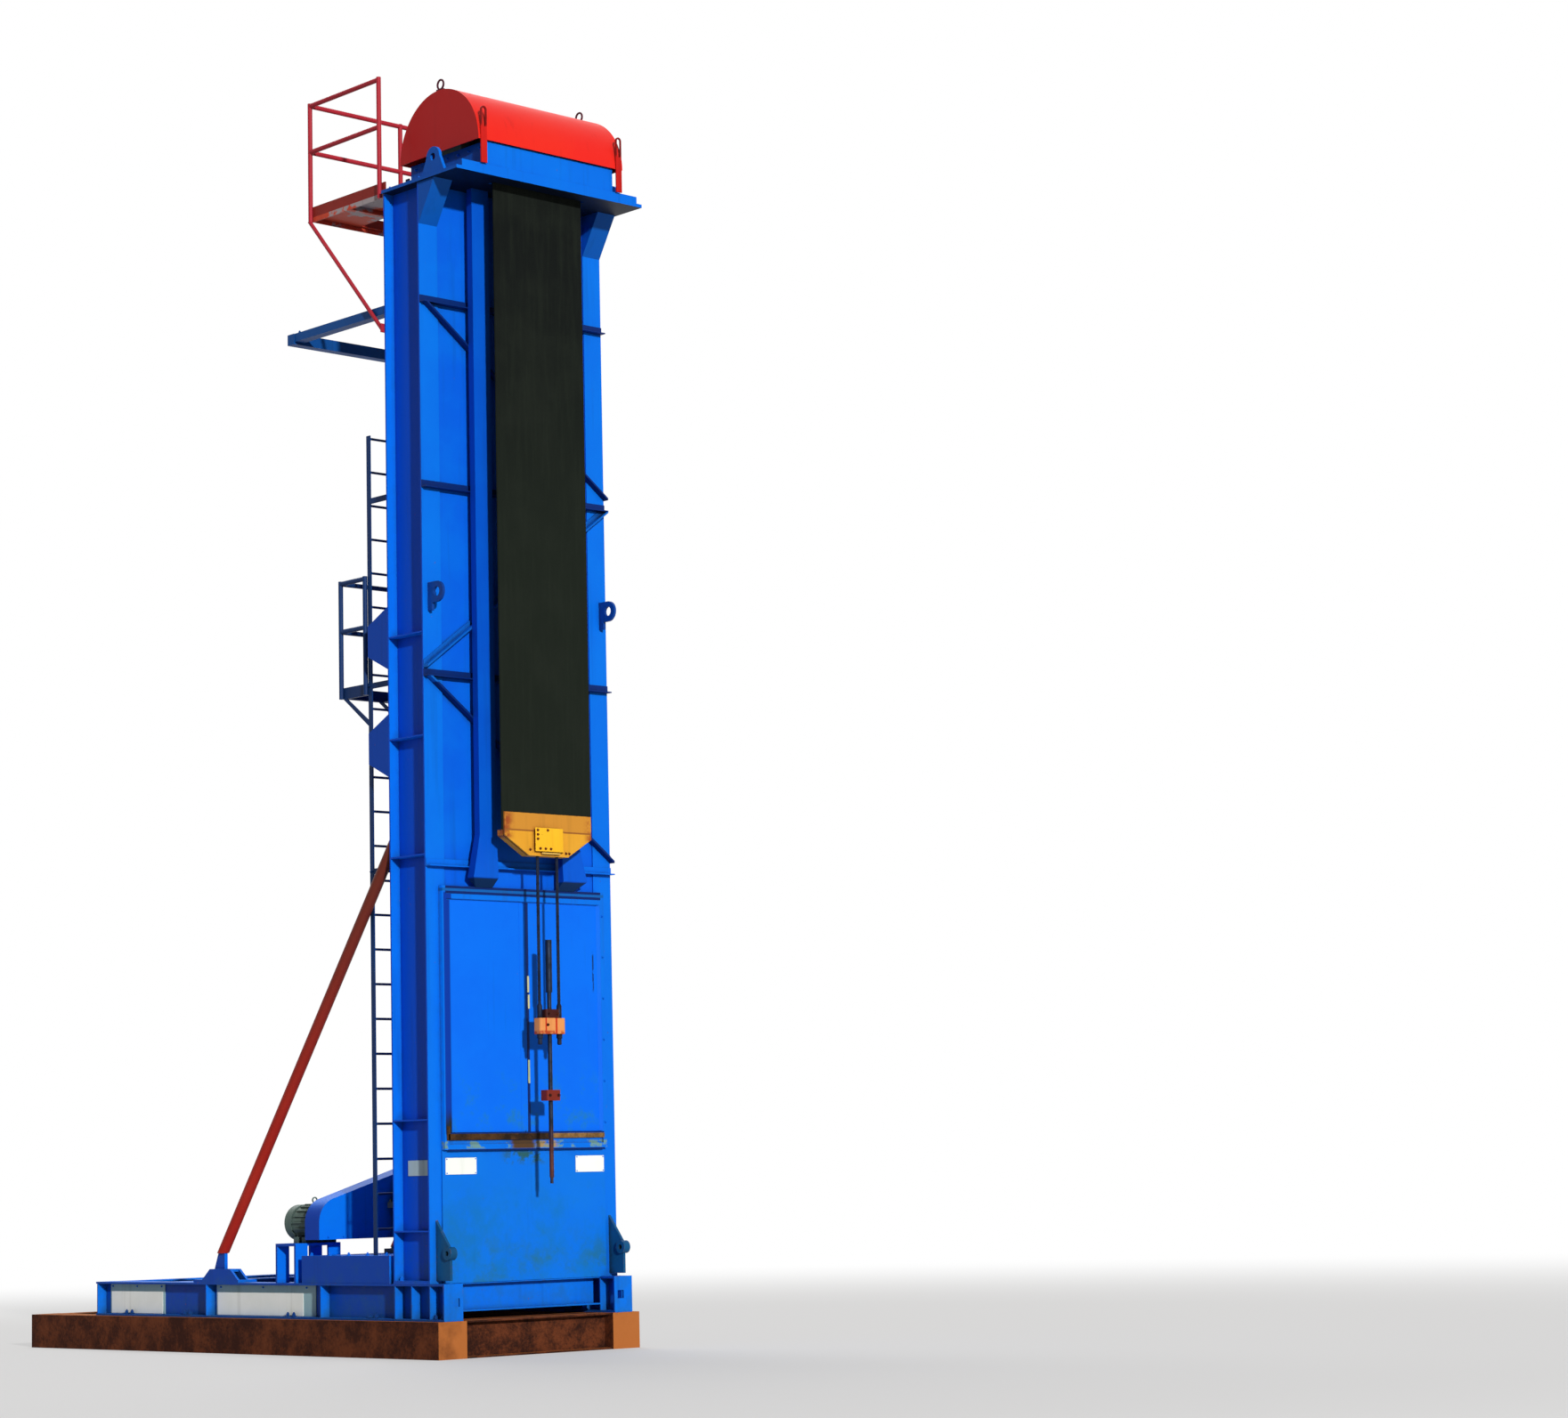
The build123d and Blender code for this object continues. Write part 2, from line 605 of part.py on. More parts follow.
def drum_bearing():
    """Left pillow block on the deck, bored for the drum shaft."""
    turn = Pos(-BEARING_X, DRUM_AXIS_Y, DRUM_AXIS_Z) * Rot(0, 90, 0)
    ring = turn * Cylinder(BEARING_RADIUS, BEARING_LENGTH)
    x0, x1 = -BEARING_X - BEARING_LENGTH / 2, -BEARING_X + BEARING_LENGTH / 2
    foot = BEARING_FOOT / 2
    pedestal = side_plate([(DRUM_AXIS_Y - foot, DECK_TOP_Z), (DRUM_AXIS_Y + foot, DECK_TOP_Z),
                           (DRUM_AXIS_Y + BEARING_RADIUS, DRUM_AXIS_Z),
                           (DRUM_AXIS_Y - BEARING_RADIUS, DRUM_AXIS_Z)], x0, x1)
    bore = turn * Cylinder(SHAFT_RADIUS, BEARING_LENGTH)
    return ring + pedestal - bore


def load_belt():
    """One strip of belt: well side down to the clamp, over the drum, down to the weight."""
    outer = DRUM_RADIUS + BELT_THICK
    path = Pos(DRUM_AXIS_Y, DRUM_AXIS_Z) * (Circle(outer) - Circle(DRUM_RADIUS))
    path -= Pos(DRUM_AXIS_Y, DRUM_AXIS_Z) * Rectangle(
        2 * outer, outer, align=(Align.CENTER, Align.MAX))
    front = Pos(BELT_FRONT_Y, CLAMP_STRIP_Z) * Rectangle(
        BELT_THICK, DRUM_AXIS_Z - CLAMP_STRIP_Z, align=(Align.CENTER, Align.MIN))
    rear = Pos(BELT_REAR_Y, BELT_END_Z) * Rectangle(
        BELT_THICK, DRUM_AXIS_Z - BELT_END_Z, align=(Align.CENTER, Align.MIN))
    strip = path + front + rear
    return extrude(Plane.YZ.offset(-BELT_HALF_WIDTH) * strip, 2 * BELT_HALF_WIDTH, dir=(1, 0, 0))


def belt_clamp():
    """Plates and a thick rear jaw that grip the belt end, and the block that holds the ropes."""
    shoulder_z, half = CLAMP_STRIP_Z - CLAMP_SHOULDER, CLAMP_HALF_TOP
    shield = [(half, shoulder_z), (CLAMP_HALF_BOTTOM, CLAMP_BOTTOM_Z),
              (-CLAMP_HALF_BOTTOM, CLAMP_BOTTOM_Z), (-half, shoulder_z)]
    front, rear = BELT_FRONT_Y - BELT_THICK / 2, BELT_FRONT_Y + BELT_THICK / 2
    outline = [(-half, CLAMP_TOP_Z), (half, CLAMP_TOP_Z), *shield]
    plates = face_plate(outline, front - CLAMP_PLATE, front)
    plates += face_plate(outline, rear, rear + CLAMP_PLATE)
    plates += face_plate([(-half, CLAMP_STRIP_Z), (half, CLAMP_STRIP_Z), *shield],
                         rear, rear + CLAMP_JAW)
    plates += block(-CLAMP_HALF_BOTTOM, CLAMP_HALF_BOTTOM, front, rear, CLAMP_BOTTOM_Z,
                    CLAMP_STRIP_Z)
    head_z = CLAMP_BOTTOM_Z + CLAMP_HEAD_RISE
    return plates + block(-CLAMP_HEAD, CLAMP_HEAD, front - CLAMP_PLATE - CLAMP_HEAD_DEPTH,
                          front - CLAMP_PLATE, head_z, head_z + CLAMP_HEAD_HEIGHT)


def hanger_rope(side):
    """A wire rope from the clamp to the carrier, with a ferrule above and a socket below it."""
    def piece(low, high, radius):
        return rod((side * ROPE_X, BELT_FRONT_Y, low), (side * ROPE_X, BELT_FRONT_Y, high), radius)

    bottom = CARRIER_TOP_Z - CARRIER_HEIGHT
    rope = piece(bottom, CLAMP_BOTTOM_Z, ROPE_RADIUS)
    rope += piece(CARRIER_TOP_Z, CARRIER_TOP_Z + FERRULE_LENGTH, FERRULE_RADIUS)
    return rope + piece(bottom - SOCKET_LENGTH, bottom, SOCKET_RADIUS)


def carrier_bar():
    """Carrier bar: a block with holes for the two ropes and the polished rod."""
    bar = block(-CARRIER_HALF_X, CARRIER_HALF_X, BELT_FRONT_Y - CARRIER_HALF_Y,
                BELT_FRONT_Y + CARRIER_HALF_Y, CARRIER_TOP_Z - CARRIER_HEIGHT, CARRIER_TOP_Z)
    bar = fillet(bar.edges().filter_by(Axis.Z), CARRIER_FILLET)
    for x, radius in ((-ROPE_X, ROPE_RADIUS), (0, ROD_RADIUS), (ROPE_X, ROPE_RADIUS)):
        bar -= rod((x, BELT_FRONT_Y, 0), (x, BELT_FRONT_Y, CLAMP_TOP_Z), radius)
    return bar


def rod_clamp(z0, height):
    """A two-piece clamp that grips the polished rod."""
    half_x, half_y = ROD_CLAMP_WIDTH / 2, ROD_CLAMP_DEPTH / 2
    body = block(-half_x, half_x, BELT_FRONT_Y - half_y, BELT_FRONT_Y + half_y, z0, z0 + height)
    body = fillet(body.edges().filter_by(Axis.Z), ROD_CLAMP_FILLET)
    return body - rod((0, BELT_FRONT_Y, z0), (0, BELT_FRONT_Y, z0 + height), ROD_RADIUS)


def polished_rod():
    """Polished rod through the carrier, with a liner above it and a coupling pin below."""
    shoulder = ROD_BOTTOM_Z + ROD_PIN_LENGTH
    liner = ROD_TOP_Z - ROD_LINER_LENGTH
    pin = rod((0, BELT_FRONT_Y, ROD_BOTTOM_Z), (0, BELT_FRONT_Y, shoulder), ROD_PIN_RADIUS)
    bar = rod((0, BELT_FRONT_Y, shoulder), (0, BELT_FRONT_Y, liner), ROD_RADIUS)
    return pin + bar + rod((0, BELT_FRONT_Y, liner), (0, BELT_FRONT_Y, ROD_TOP_Z),
                           ROD_LINER_RADIUS)


def counterweight():
    """Counterweight box with three recessed panels, and the clamp that holds the rear belt end."""
    half, y0, y1 = WEIGHT_HALF_X, BELT_REAR_Y - WEIGHT_HALF_Y, BELT_REAR_Y + WEIGHT_HALF_Y
    box = block(-half, half, y0, y1, WEIGHT_BOTTOM_Z, WEIGHT_TOP_Z)
    bay = (WEIGHT_TOP_Z - WEIGHT_BOTTOM_Z) / 3
    for low in (WEIGHT_BOTTOM_Z + i * bay for i in range(3)):
        box -= block(-half + WEIGHT_RIB, half - WEIGHT_RIB, y1 - WEIGHT_RECESS, y1,
                     low + WEIGHT_RIB / 2, low + bay - WEIGHT_RIB / 2)
    taper_z = (WEIGHT_TOP_Z + BELT_END_Z) / 2
    grip_z = 2 * BELT_END_Z - WEIGHT_TOP_Z
    jaw = BELT_THICK / 2 + CLAMP_PLATE
    lug = face_plate([(-WEIGHT_LUG, WEIGHT_TOP_Z), (WEIGHT_LUG, WEIGHT_TOP_Z),
                      (BELT_HALF_WIDTH, taper_z), (BELT_HALF_WIDTH, grip_z),
                      (-BELT_HALF_WIDTH, grip_z), (-BELT_HALF_WIDTH, taper_z)],
                     BELT_REAR_Y - jaw, BELT_REAR_Y + jaw)
    slot = block(-BELT_HALF_WIDTH, BELT_HALF_WIDTH, BELT_REAR_Y - BELT_THICK / 2,
                 BELT_REAR_Y + BELT_THICK / 2, BELT_END_Z, grip_z)
    return box + (lug - slot)


def ladder(left_x, first_z, bottom_z, top_z):
    """Two flat-bar stiles, and the round rungs that are welded between them."""
    y0, y1 = LADDER_Y - LADDER_RAIL / 2, LADDER_Y + LADDER_RAIL / 2
    right_x = left_x + LADDER_WIDTH - LADDER_STILE
    stiles = [block(x, x + LADDER_STILE, y0, y1, bottom_z, top_z) for x in (left_x, right_x)]
    count = int((top_z - RUNG_RADIUS - first_z) / RUNG_PITCH) + 1
    rungs = [rod((left_x + LADDER_STILE, LADDER_Y, first_z + i * RUNG_PITCH),
                 (right_x, LADDER_Y, first_z + i * RUNG_PITCH), RUNG_RADIUS)
             for i in range(count)]
    return stiles, rungs


def ladder_brackets():
    """Flat bars that hold both ladders off the rear flange and the rear struts."""
    near = LADDER_Y - LADDER_RAIL / 2
    strut_tip = REAR_Y + ANGLE_LEG
    lower_right = LADDER_LEFT_X + LADDER_WIDTH - LADDER_STILE
    upper_right = UPPER_LADDER_LEFT_X + LADDER_WIDTH - LADDER_STILE
    bars = []
    for z in STRUT_LEVELS_Z[1:]:
        bars.append((LADDER_LEFT_X, REAR_Y, z))
        bars.append((lower_right, strut_tip, z))
    for z in STRUT_LEVELS_Z[:2]:
        bars.append((UPPER_LADDER_LEFT_X, strut_tip, z))
        bars.append((upper_right, strut_tip, z))
    return [block(x, x + LADDER_STILE, y, near, z, z + LADDER_RAIL) for x, y, z in bars]


def landing_knees():
    """Knee braces from the landing down to the ladder stiles."""
    knees = []
    upper_right = UPPER_LADDER_LEFT_X + LADDER_WIDTH - LADDER_STILE
    near = LADDER_Y + LADDER_RAIL / 2
    far = LANDING_REAR_Y
    for x in (LADDER_LEFT_X, LADDER_LEFT_X + LADDER_WIDTH - LADDER_STILE, upper_right):
        knees.append(side_plate([(near, LANDING_FLOOR_Z - LANDING_KNEE),
                                 (near, LANDING_FLOOR_Z - LANDING_KNEE + LADDER_RAIL),
                                 (far - LADDER_RAIL, LANDING_FLOOR_Z), (far, LANDING_FLOOR_Z)],
                                x, x + LADDER_STILE))
    return knees


def railing(corners, foot_z, floor_z, top_z, floor):
    """A pipe post at each point, let into the floor's edge, with a top rail and a knee rail."""
    posts = [rod((x, y, foot_z), (x, y, top_z), RAILING_RADIUS) - floor for x, y in corners]
    bars = []
    for i, ((ax, ay), (bx, by)) in enumerate(zip(corners[:-1], corners[1:])):
        for z in (top_z - RAILING_RADIUS, floor_z + KNEE_RAIL * (top_z - floor_z)):
            bar = rod((ax, ay, z), (bx, by, z), RAILING_RADIUS)
            bars.append(bar - posts[i] - posts[i + 1])
    return posts, bars


def top_platform():
    """Floor of the rear platform: a plate in a channel frame that also makes the toe board."""
    x0, x1, y0, y1 = -PLATFORM_OUTER_X, PLATFORM_OUTER_X, REAR_Y, PLATFORM_REAR_Y
    wall, plate_z = PLATFORM_WALL, PLATFORM_FLOOR_Z - PLATFORM_PLATE
    frame = block(x0, x1, y0, y1, PLATFORM_BOTTOM_Z, PLATFORM_TOE_Z)
    frame -= block(x0 + wall, x1 - wall, y0 + wall, y1 - wall, PLATFORM_BOTTOM_Z, plate_z)
    frame -= block(x0 + wall, x1 - wall, y0, y1 - wall, PLATFORM_FLOOR_Z, PLATFORM_TOE_Z)
    hatch_x0 = UPPER_LADDER_LEFT_X - HATCH_MARGIN
    hatch_x1 = UPPER_LADDER_LEFT_X + LADDER_WIDTH + HATCH_MARGIN
    frame -= block(hatch_x0, hatch_x1, LADDER_Y - LADDER_RAIL, y1 - HATCH_MARGIN, plate_z,
                   PLATFORM_FLOOR_Z)
    middle, half = (y0 + y1) / 2, PLATFORM_BEAM / 2
    for low, high in ((x0 + wall, hatch_x0), (hatch_x1, x1 - wall)):
        frame += block(low, high, middle - half, middle + half, PLATFORM_BOTTOM_Z, plate_z)
    return frame


def platform_brace():
    """Left round bar from the foot of the corner post down to a lug on the rear flange."""
    radius, lug = PLATFORM_BRACE_RADIUS, PLATFORM_LUG
    top = Vector(-PLATFORM_BRACE_TOP_X, PLATFORM_REAR_Y + POST_STAND, PLATFORM_BOTTOM_Z)
    foot = Vector(-COLUMN_OUTER_X - radius, REAR_Y, PLATFORM_BRACE_FOOT_Z)
    over = (top - foot).normalized() * lug
    bar = rod(tuple(top + over), tuple(foot - over), radius)
    bar -= block(top.X - lug, top.X + lug, REAR_Y, top.Y + 2 * lug, top.Z, top.Z + 2 * lug)
    seat = REAR_Y + PLATFORM_WALL
    bar -= block(foot.X - lug, foot.X + lug, seat - 2 * lug, seat, foot.Z - 2 * lug,
                 foot.Z + 2 * lug)
    return bar + block(foot.X - radius, foot.X + lug, REAR_Y, seat, foot.Z - radius,
                       foot.Z + lug)


def landing():
    """Small landing on the ladder: a plate with a toe board and a hatch behind the ladder."""
    x0, x1 = LADDER_LEFT_X, LANDING_RIGHT_X
    y0, y1 = LADDER_Y + LADDER_RAIL / 2, LANDING_REAR_Y
    floor = block(x0, x1, y0, y1, LANDING_FLOOR_Z, LANDING_FLOOR_Z + TOE_BOARD)
    plate_z = LANDING_FLOOR_Z + PLATFORM_PLATE
    floor -= block(x0 + PLATFORM_PLATE, x1 - PLATFORM_PLATE, y0, y1 - PLATFORM_PLATE, plate_z,
                   LANDING_FLOOR_Z + TOE_BOARD)
    hatch = block(x0 + LANDING_STRIP, x0 + LADDER_WIDTH, y0, y1 - HATCH_MARGIN, LANDING_FLOOR_Z,
                  plate_z)
    return floor - hatch


def rear_frame_arm():
    """Left arm of the level frame behind the tower, a box beam."""
    outer = -COLUMN_OUTER_X + REAR_ARM_INSET
    return block(outer, outer + REAR_FRAME_BEAM, REAR_Y, REAR_FRAME_Y,
                 REAR_FRAME_TOP_Z - REAR_ARM_HEIGHT, REAR_FRAME_TOP_Z)


def rear_bracket(z):
    """A tapered plate on the left rear flange."""
    root, tip = BRACKET_ROOT / 2, BRACKET_TIP / 2
    outline = [(REAR_Y, z - root), (REAR_Y + BRACKET_REACH, z - tip),
               (REAR_Y + BRACKET_REACH, z + tip), (REAR_Y, z + root)]
    return side_plate(outline, -COLUMN_OUTER_X, -COLUMN_OUTER_X + BRACKET_PLATE)


def raking_brace():
    """Left tube brace, cut to seat on its foot and on the rear flange."""
    clear = 4 * BRACE_RADIUS
    run, rise = BRACE_FOOT_Y - REAR_Y, BRACE_TOP_Z - BRACE_FOOT_Z
    tube = rod((-BRACE_X, BRACE_FOOT_Y + run / 20, BRACE_FOOT_Z - rise / 20),
               (-BRACE_X, REAR_Y - run / 20, BRACE_TOP_Z + rise / 20), BRACE_RADIUS)
    inside = block(-BRACE_X - clear, -BRACE_X + clear, REAR_Y - run, REAR_Y,
                   BRACE_TOP_Z - rise / 4, BRACE_TOP_Z + rise / 4)
    below = block(-BRACE_X - clear, -BRACE_X + clear, FOOT_FRONT_Y, FOOT_REAR_Y, SKID_BOTTOM_Z,
                  BRACE_FOOT_Z)
    return tube - inside - below


def brace_foot():
    """Left foot of the brace: a ribbed table on a sole plate, with a gusset under the tube."""
    sole_z = SKID_TOP_Z + SOLE_THICK
    front_y, rear_y = BRACE_FOOT_Y - TABLE_FRONT, BRACE_FOOT_Y + TABLE_REAR
    foot = block(-SKID_OUTER_X, -SKID_OUTER_X + SKID_FLANGE, FOOT_FRONT_Y, FOOT_REAR_Y,
                 SKID_TOP_Z, sole_z)
    table_x = SKID_OUTER_X - BRACE_X
    for x in (-BRACE_X - table_x, -BRACE_X + table_x - RIB_THICK):
        foot += side_plate([(front_y - RIB_SPREAD, sole_z), (rear_y + RIB_SPREAD, sole_z),
                            (rear_y, TABLE_Z), (front_y, TABLE_Z)], x, x + RIB_THICK)
    foot += block(-BRACE_X - table_x, -BRACE_X + table_x, front_y, rear_y,
                  TABLE_Z - SOLE_THICK, TABLE_Z)
    gusset = side_plate([(BRACE_FOOT_Y - GUSSET_FRONT, TABLE_Z),
                         (BRACE_FOOT_Y + GUSSET_REAR, TABLE_Z),
                         (BRACE_FOOT_Y + GUSSET_FRONT, BRACE_FOOT_Z),
                         (BRACE_FOOT_Y - GUSSET_FRONT, BRACE_FOOT_Z)],
                        -BRACE_X - GUSSET_THICK / 2, -BRACE_X + GUSSET_THICK / 2)
    return foot + gusset


def hinge_plate():
    """Left hinge plate at the foot of the column, on which the tower was raised."""
    low, pin_z = SKID_TOP_Z + BASE_PLATE_THICK, SKID_TOP_Z + HINGE_PIN_Z
    tip_y, pin_y = FRONT_Y - HINGE_REACH, FRONT_Y - HINGE_PIN_REACH
    plate = side_plate([(FRONT_Y, low), (tip_y, low), (tip_y, pin_z),
                        (pin_y, pin_z + HINGE_EYE), (FRONT_Y, low + HINGE_HEIGHT)],
                       -HINGE_X - HINGE_PLATE / 2, -HINGE_X + HINGE_PLATE / 2)
    turn = Pos(-HINGE_X, pin_y, pin_z) * Rot(0, 90, 0)
    return (plate + turn * Cylinder(HINGE_EYE, HINGE_BOSS)) - turn * Cylinder(HINGE_HOLE,
                                                                              HINGE_BOSS)


def side_lug():
    """Left P-shaped lug on the front flange: a stem with a ring."""
    x0, x1 = -SIDE_LUG_X - SIDE_LUG_PLATE / 2, -SIDE_LUG_X + SIDE_LUG_PLATE / 2
    ring_y = FRONT_Y - SIDE_LUG_RING - SIDE_LUG_STEM / 2
    ring = Pos(-SIDE_LUG_X, ring_y, SIDE_LUG_Z) * Rot(0, 90, 0)
    stem = block(x0, x1, FRONT_Y - SIDE_LUG_STEM, FRONT_Y,
                 SIDE_LUG_Z - SIDE_LUG_RING - SIDE_LUG_TAIL / 2, SIDE_LUG_Z + SIDE_LUG_RING)
    web = block(x0, x1, ring_y, FRONT_Y, SIDE_LUG_Z - SIDE_LUG_RING, SIDE_LUG_Z + SIDE_LUG_RING)
    disc = ring * Cylinder(SIDE_LUG_RING, SIDE_LUG_PLATE)
    return (stem + web + disc) - ring * Cylinder(SIDE_LUG_HOLE, SIDE_LUG_PLATE)


def machine_base():
    """Raised frame on the skid that carries the gear reducer."""
    x, y0, y1, wall = (MACHINE_BASE_X, MACHINE_BASE_FRONT_Y, MACHINE_BASE_REAR_Y,
                       MACHINE_BASE_WALL)
    frame = block(-x, x, y0, y1, SKID_TOP_Z, MACHINE_BASE_TOP_Z)
    return frame - block(-x + wall, x - wall, y0 + wall, y1 - wall, SKID_TOP_Z,
                         MACHINE_BASE_TOP_Z - wall)


def reducer():
    """Gear reducer: two halves bolted at a flange on the shaft line, bearing bosses, a lid."""
    cx, hx, y0, y1 = REDUCER_CENTRE_X, REDUCER_HALF_X, REDUCER_FRONT_Y, REDUCER_REAR_Y
    step, flange = REDUCER_STEP, REDUCER_FLANGE
    low, high = SHAFT_HEIGHT_Z - flange / 2, SHAFT_HEIGHT_Z + flange / 2
    foot_z = MACHINE_BASE_TOP_Z + REDUCER_FOOT
    shoulder = high + REDUCER_SIDE
    shape = block(cx - hx, cx + hx, y0, y1, MACHINE_BASE_TOP_Z, foot_z)
    shape += block(cx - hx + step, cx + hx - step, y0 + step, y1 - step, foot_z, low)
    shape += block(cx - hx + flange / 2, cx + hx - flange / 2, y0 + flange / 2, y1 - flange / 2,
                   low, high)
    shape += face_plate([(cx - hx + step, high), (cx + hx - step, high),
                         (cx + hx - step, shoulder), (cx + REDUCER_LID, REDUCER_TOP_Z),
                         (cx - REDUCER_LID, REDUCER_TOP_Z), (cx - hx + step, shoulder)],
                        y0 + step, y1 - step)
    for x, radius in ((cx, OUTPUT_BOSS), (cx - REDUCER_SHAFT_GAP, INPUT_BOSS)):
        shape += rod((x, y0, SHAFT_HEIGHT_Z), (x, y1, SHAFT_HEIGHT_Z), radius)
    return shape


def belt_guard():
    """V-belt guard: a flat case round the motor pulley and the large reducer pulley."""
    small = Pos(MOTOR_X, MOTOR_Z) * Circle(SMALL_GUARD_RADIUS)
    large = Pos(REDUCER_CENTRE_X, SHAFT_HEIGHT_Z) * Circle(LARGE_GUARD_RADIUS)
    left = MOTOR_X - SMALL_GUARD_RADIUS
    right = REDUCER_CENTRE_X + LARGE_GUARD_RADIUS
    skirt = Pos((left + right) / 2, GUARD_BOTTOM_Z) * Rectangle(
        right - left, MOTOR_Z - GUARD_BOTTOM_Z, align=(Align.CENTER, Align.MIN))
    outline = make_hull(small.edges() + large.edges() + skirt.edges())
    outline -= Pos((left + right) / 2, GUARD_BOTTOM_Z) * Rectangle(
        2 * (right - left), LARGE_GUARD_RADIUS, align=(Align.CENTER, Align.MAX))
    case = extrude(Plane.XZ.offset(-GUARD_FRONT_Y) * outline, GUARD_DEPTH, dir=(0, 1, 0))
    inner = offset(outline, -GUARD_WALL, kind=Kind.INTERSECTION)
    case -= extrude(Plane.XZ.offset(-GUARD_FRONT_Y - GUARD_WALL) * inner,
                    GUARD_DEPTH - 2 * GUARD_WALL, dir=(0, 1, 0))
    for x, z, y in ((MOTOR_X, MOTOR_Z, GUARD_FRONT_Y + GUARD_DEPTH - GUARD_WALL),
                    (REDUCER_CENTRE_X, SHAFT_HEIGHT_Z, GUARD_FRONT_Y)):
        case -= rod((x, y, z), (x, y + GUARD_WALL, z), GUARD_SHAFT_HOLE)
    return case


def motor():
    """Electric motor behind the guard: ribbed frame, fan cover, two feet and a terminal box."""
    y0 = GUARD_FRONT_Y + GUARD_DEPTH
    fan_y = y0 + MOTOR_LENGTH
    core = MOTOR_RADIUS - FIN_HEIGHT
    shape = rod((MOTOR_X, y0, MOTOR_Z), (MOTOR_X, fan_y, MOTOR_Z), core)
    shape += rod((MOTOR_X, fan_y, MOTOR_Z), (MOTOR_X, fan_y + FAN_COVER, MOTOR_Z),
                 MOTOR_RADIUS - FIN_THICK)
    middle = Pos(MOTOR_X, (y0 + fan_y) / 2, MOTOR_Z)
    for i in range(FIN_COUNT):
        shape += middle * Rot(0, 360 * i / FIN_COUNT, 0) * Pos(core, 0, 0) * Box(
            2 * FIN_HEIGHT, MOTOR_LENGTH - FAN_COVER, FIN_THICK)
    for y in (y0 + MOTOR_FOOT, fan_y - 2 * MOTOR_FOOT):
        shape += block(MOTOR_X - MOTOR_RADIUS, MOTOR_X + MOTOR_RADIUS, y, y + MOTOR_FOOT,
                       MOTOR_Z - MOTOR_AXIS_HEIGHT, MOTOR_Z - core + FIN_HEIGHT)
    centre_y = (y0 + fan_y) / 2
    half = TERMINAL_BOX / 2
    return shape + block(MOTOR_X + core / 2, MOTOR_X + core / 2 + TERMINAL_BOX, centre_y - half,
                         centre_y + half, MOTOR_Z + core / 2, MOTOR_Z + MOTOR_AXIS_HEIGHT)


def motor_stand():
    """Stand on the skid under the motor: a top plate on four flat legs."""
    y0 = GUARD_FRONT_Y + GUARD_DEPTH + STAND_PLATE
    y1 = y0 + MOTOR_LENGTH
    top = MOTOR_Z - MOTOR_AXIS_HEIGHT
    x0, x1 = -SKID_OUTER_X + STAND_INSET, MOTOR_X + MOTOR_RADIUS + STAND_INSET
    shape = block(x0, x1, y0, y1, top - STAND_PLATE, top)
    for x in (x0, x1 - STAND_LEG):
        for y in (y0, y1 - STAND_PLATE):
            shape += block(x, x + STAND_LEG, y, y + STAND_PLATE, SKID_TOP_Z, top - STAND_PLATE)
    return shape


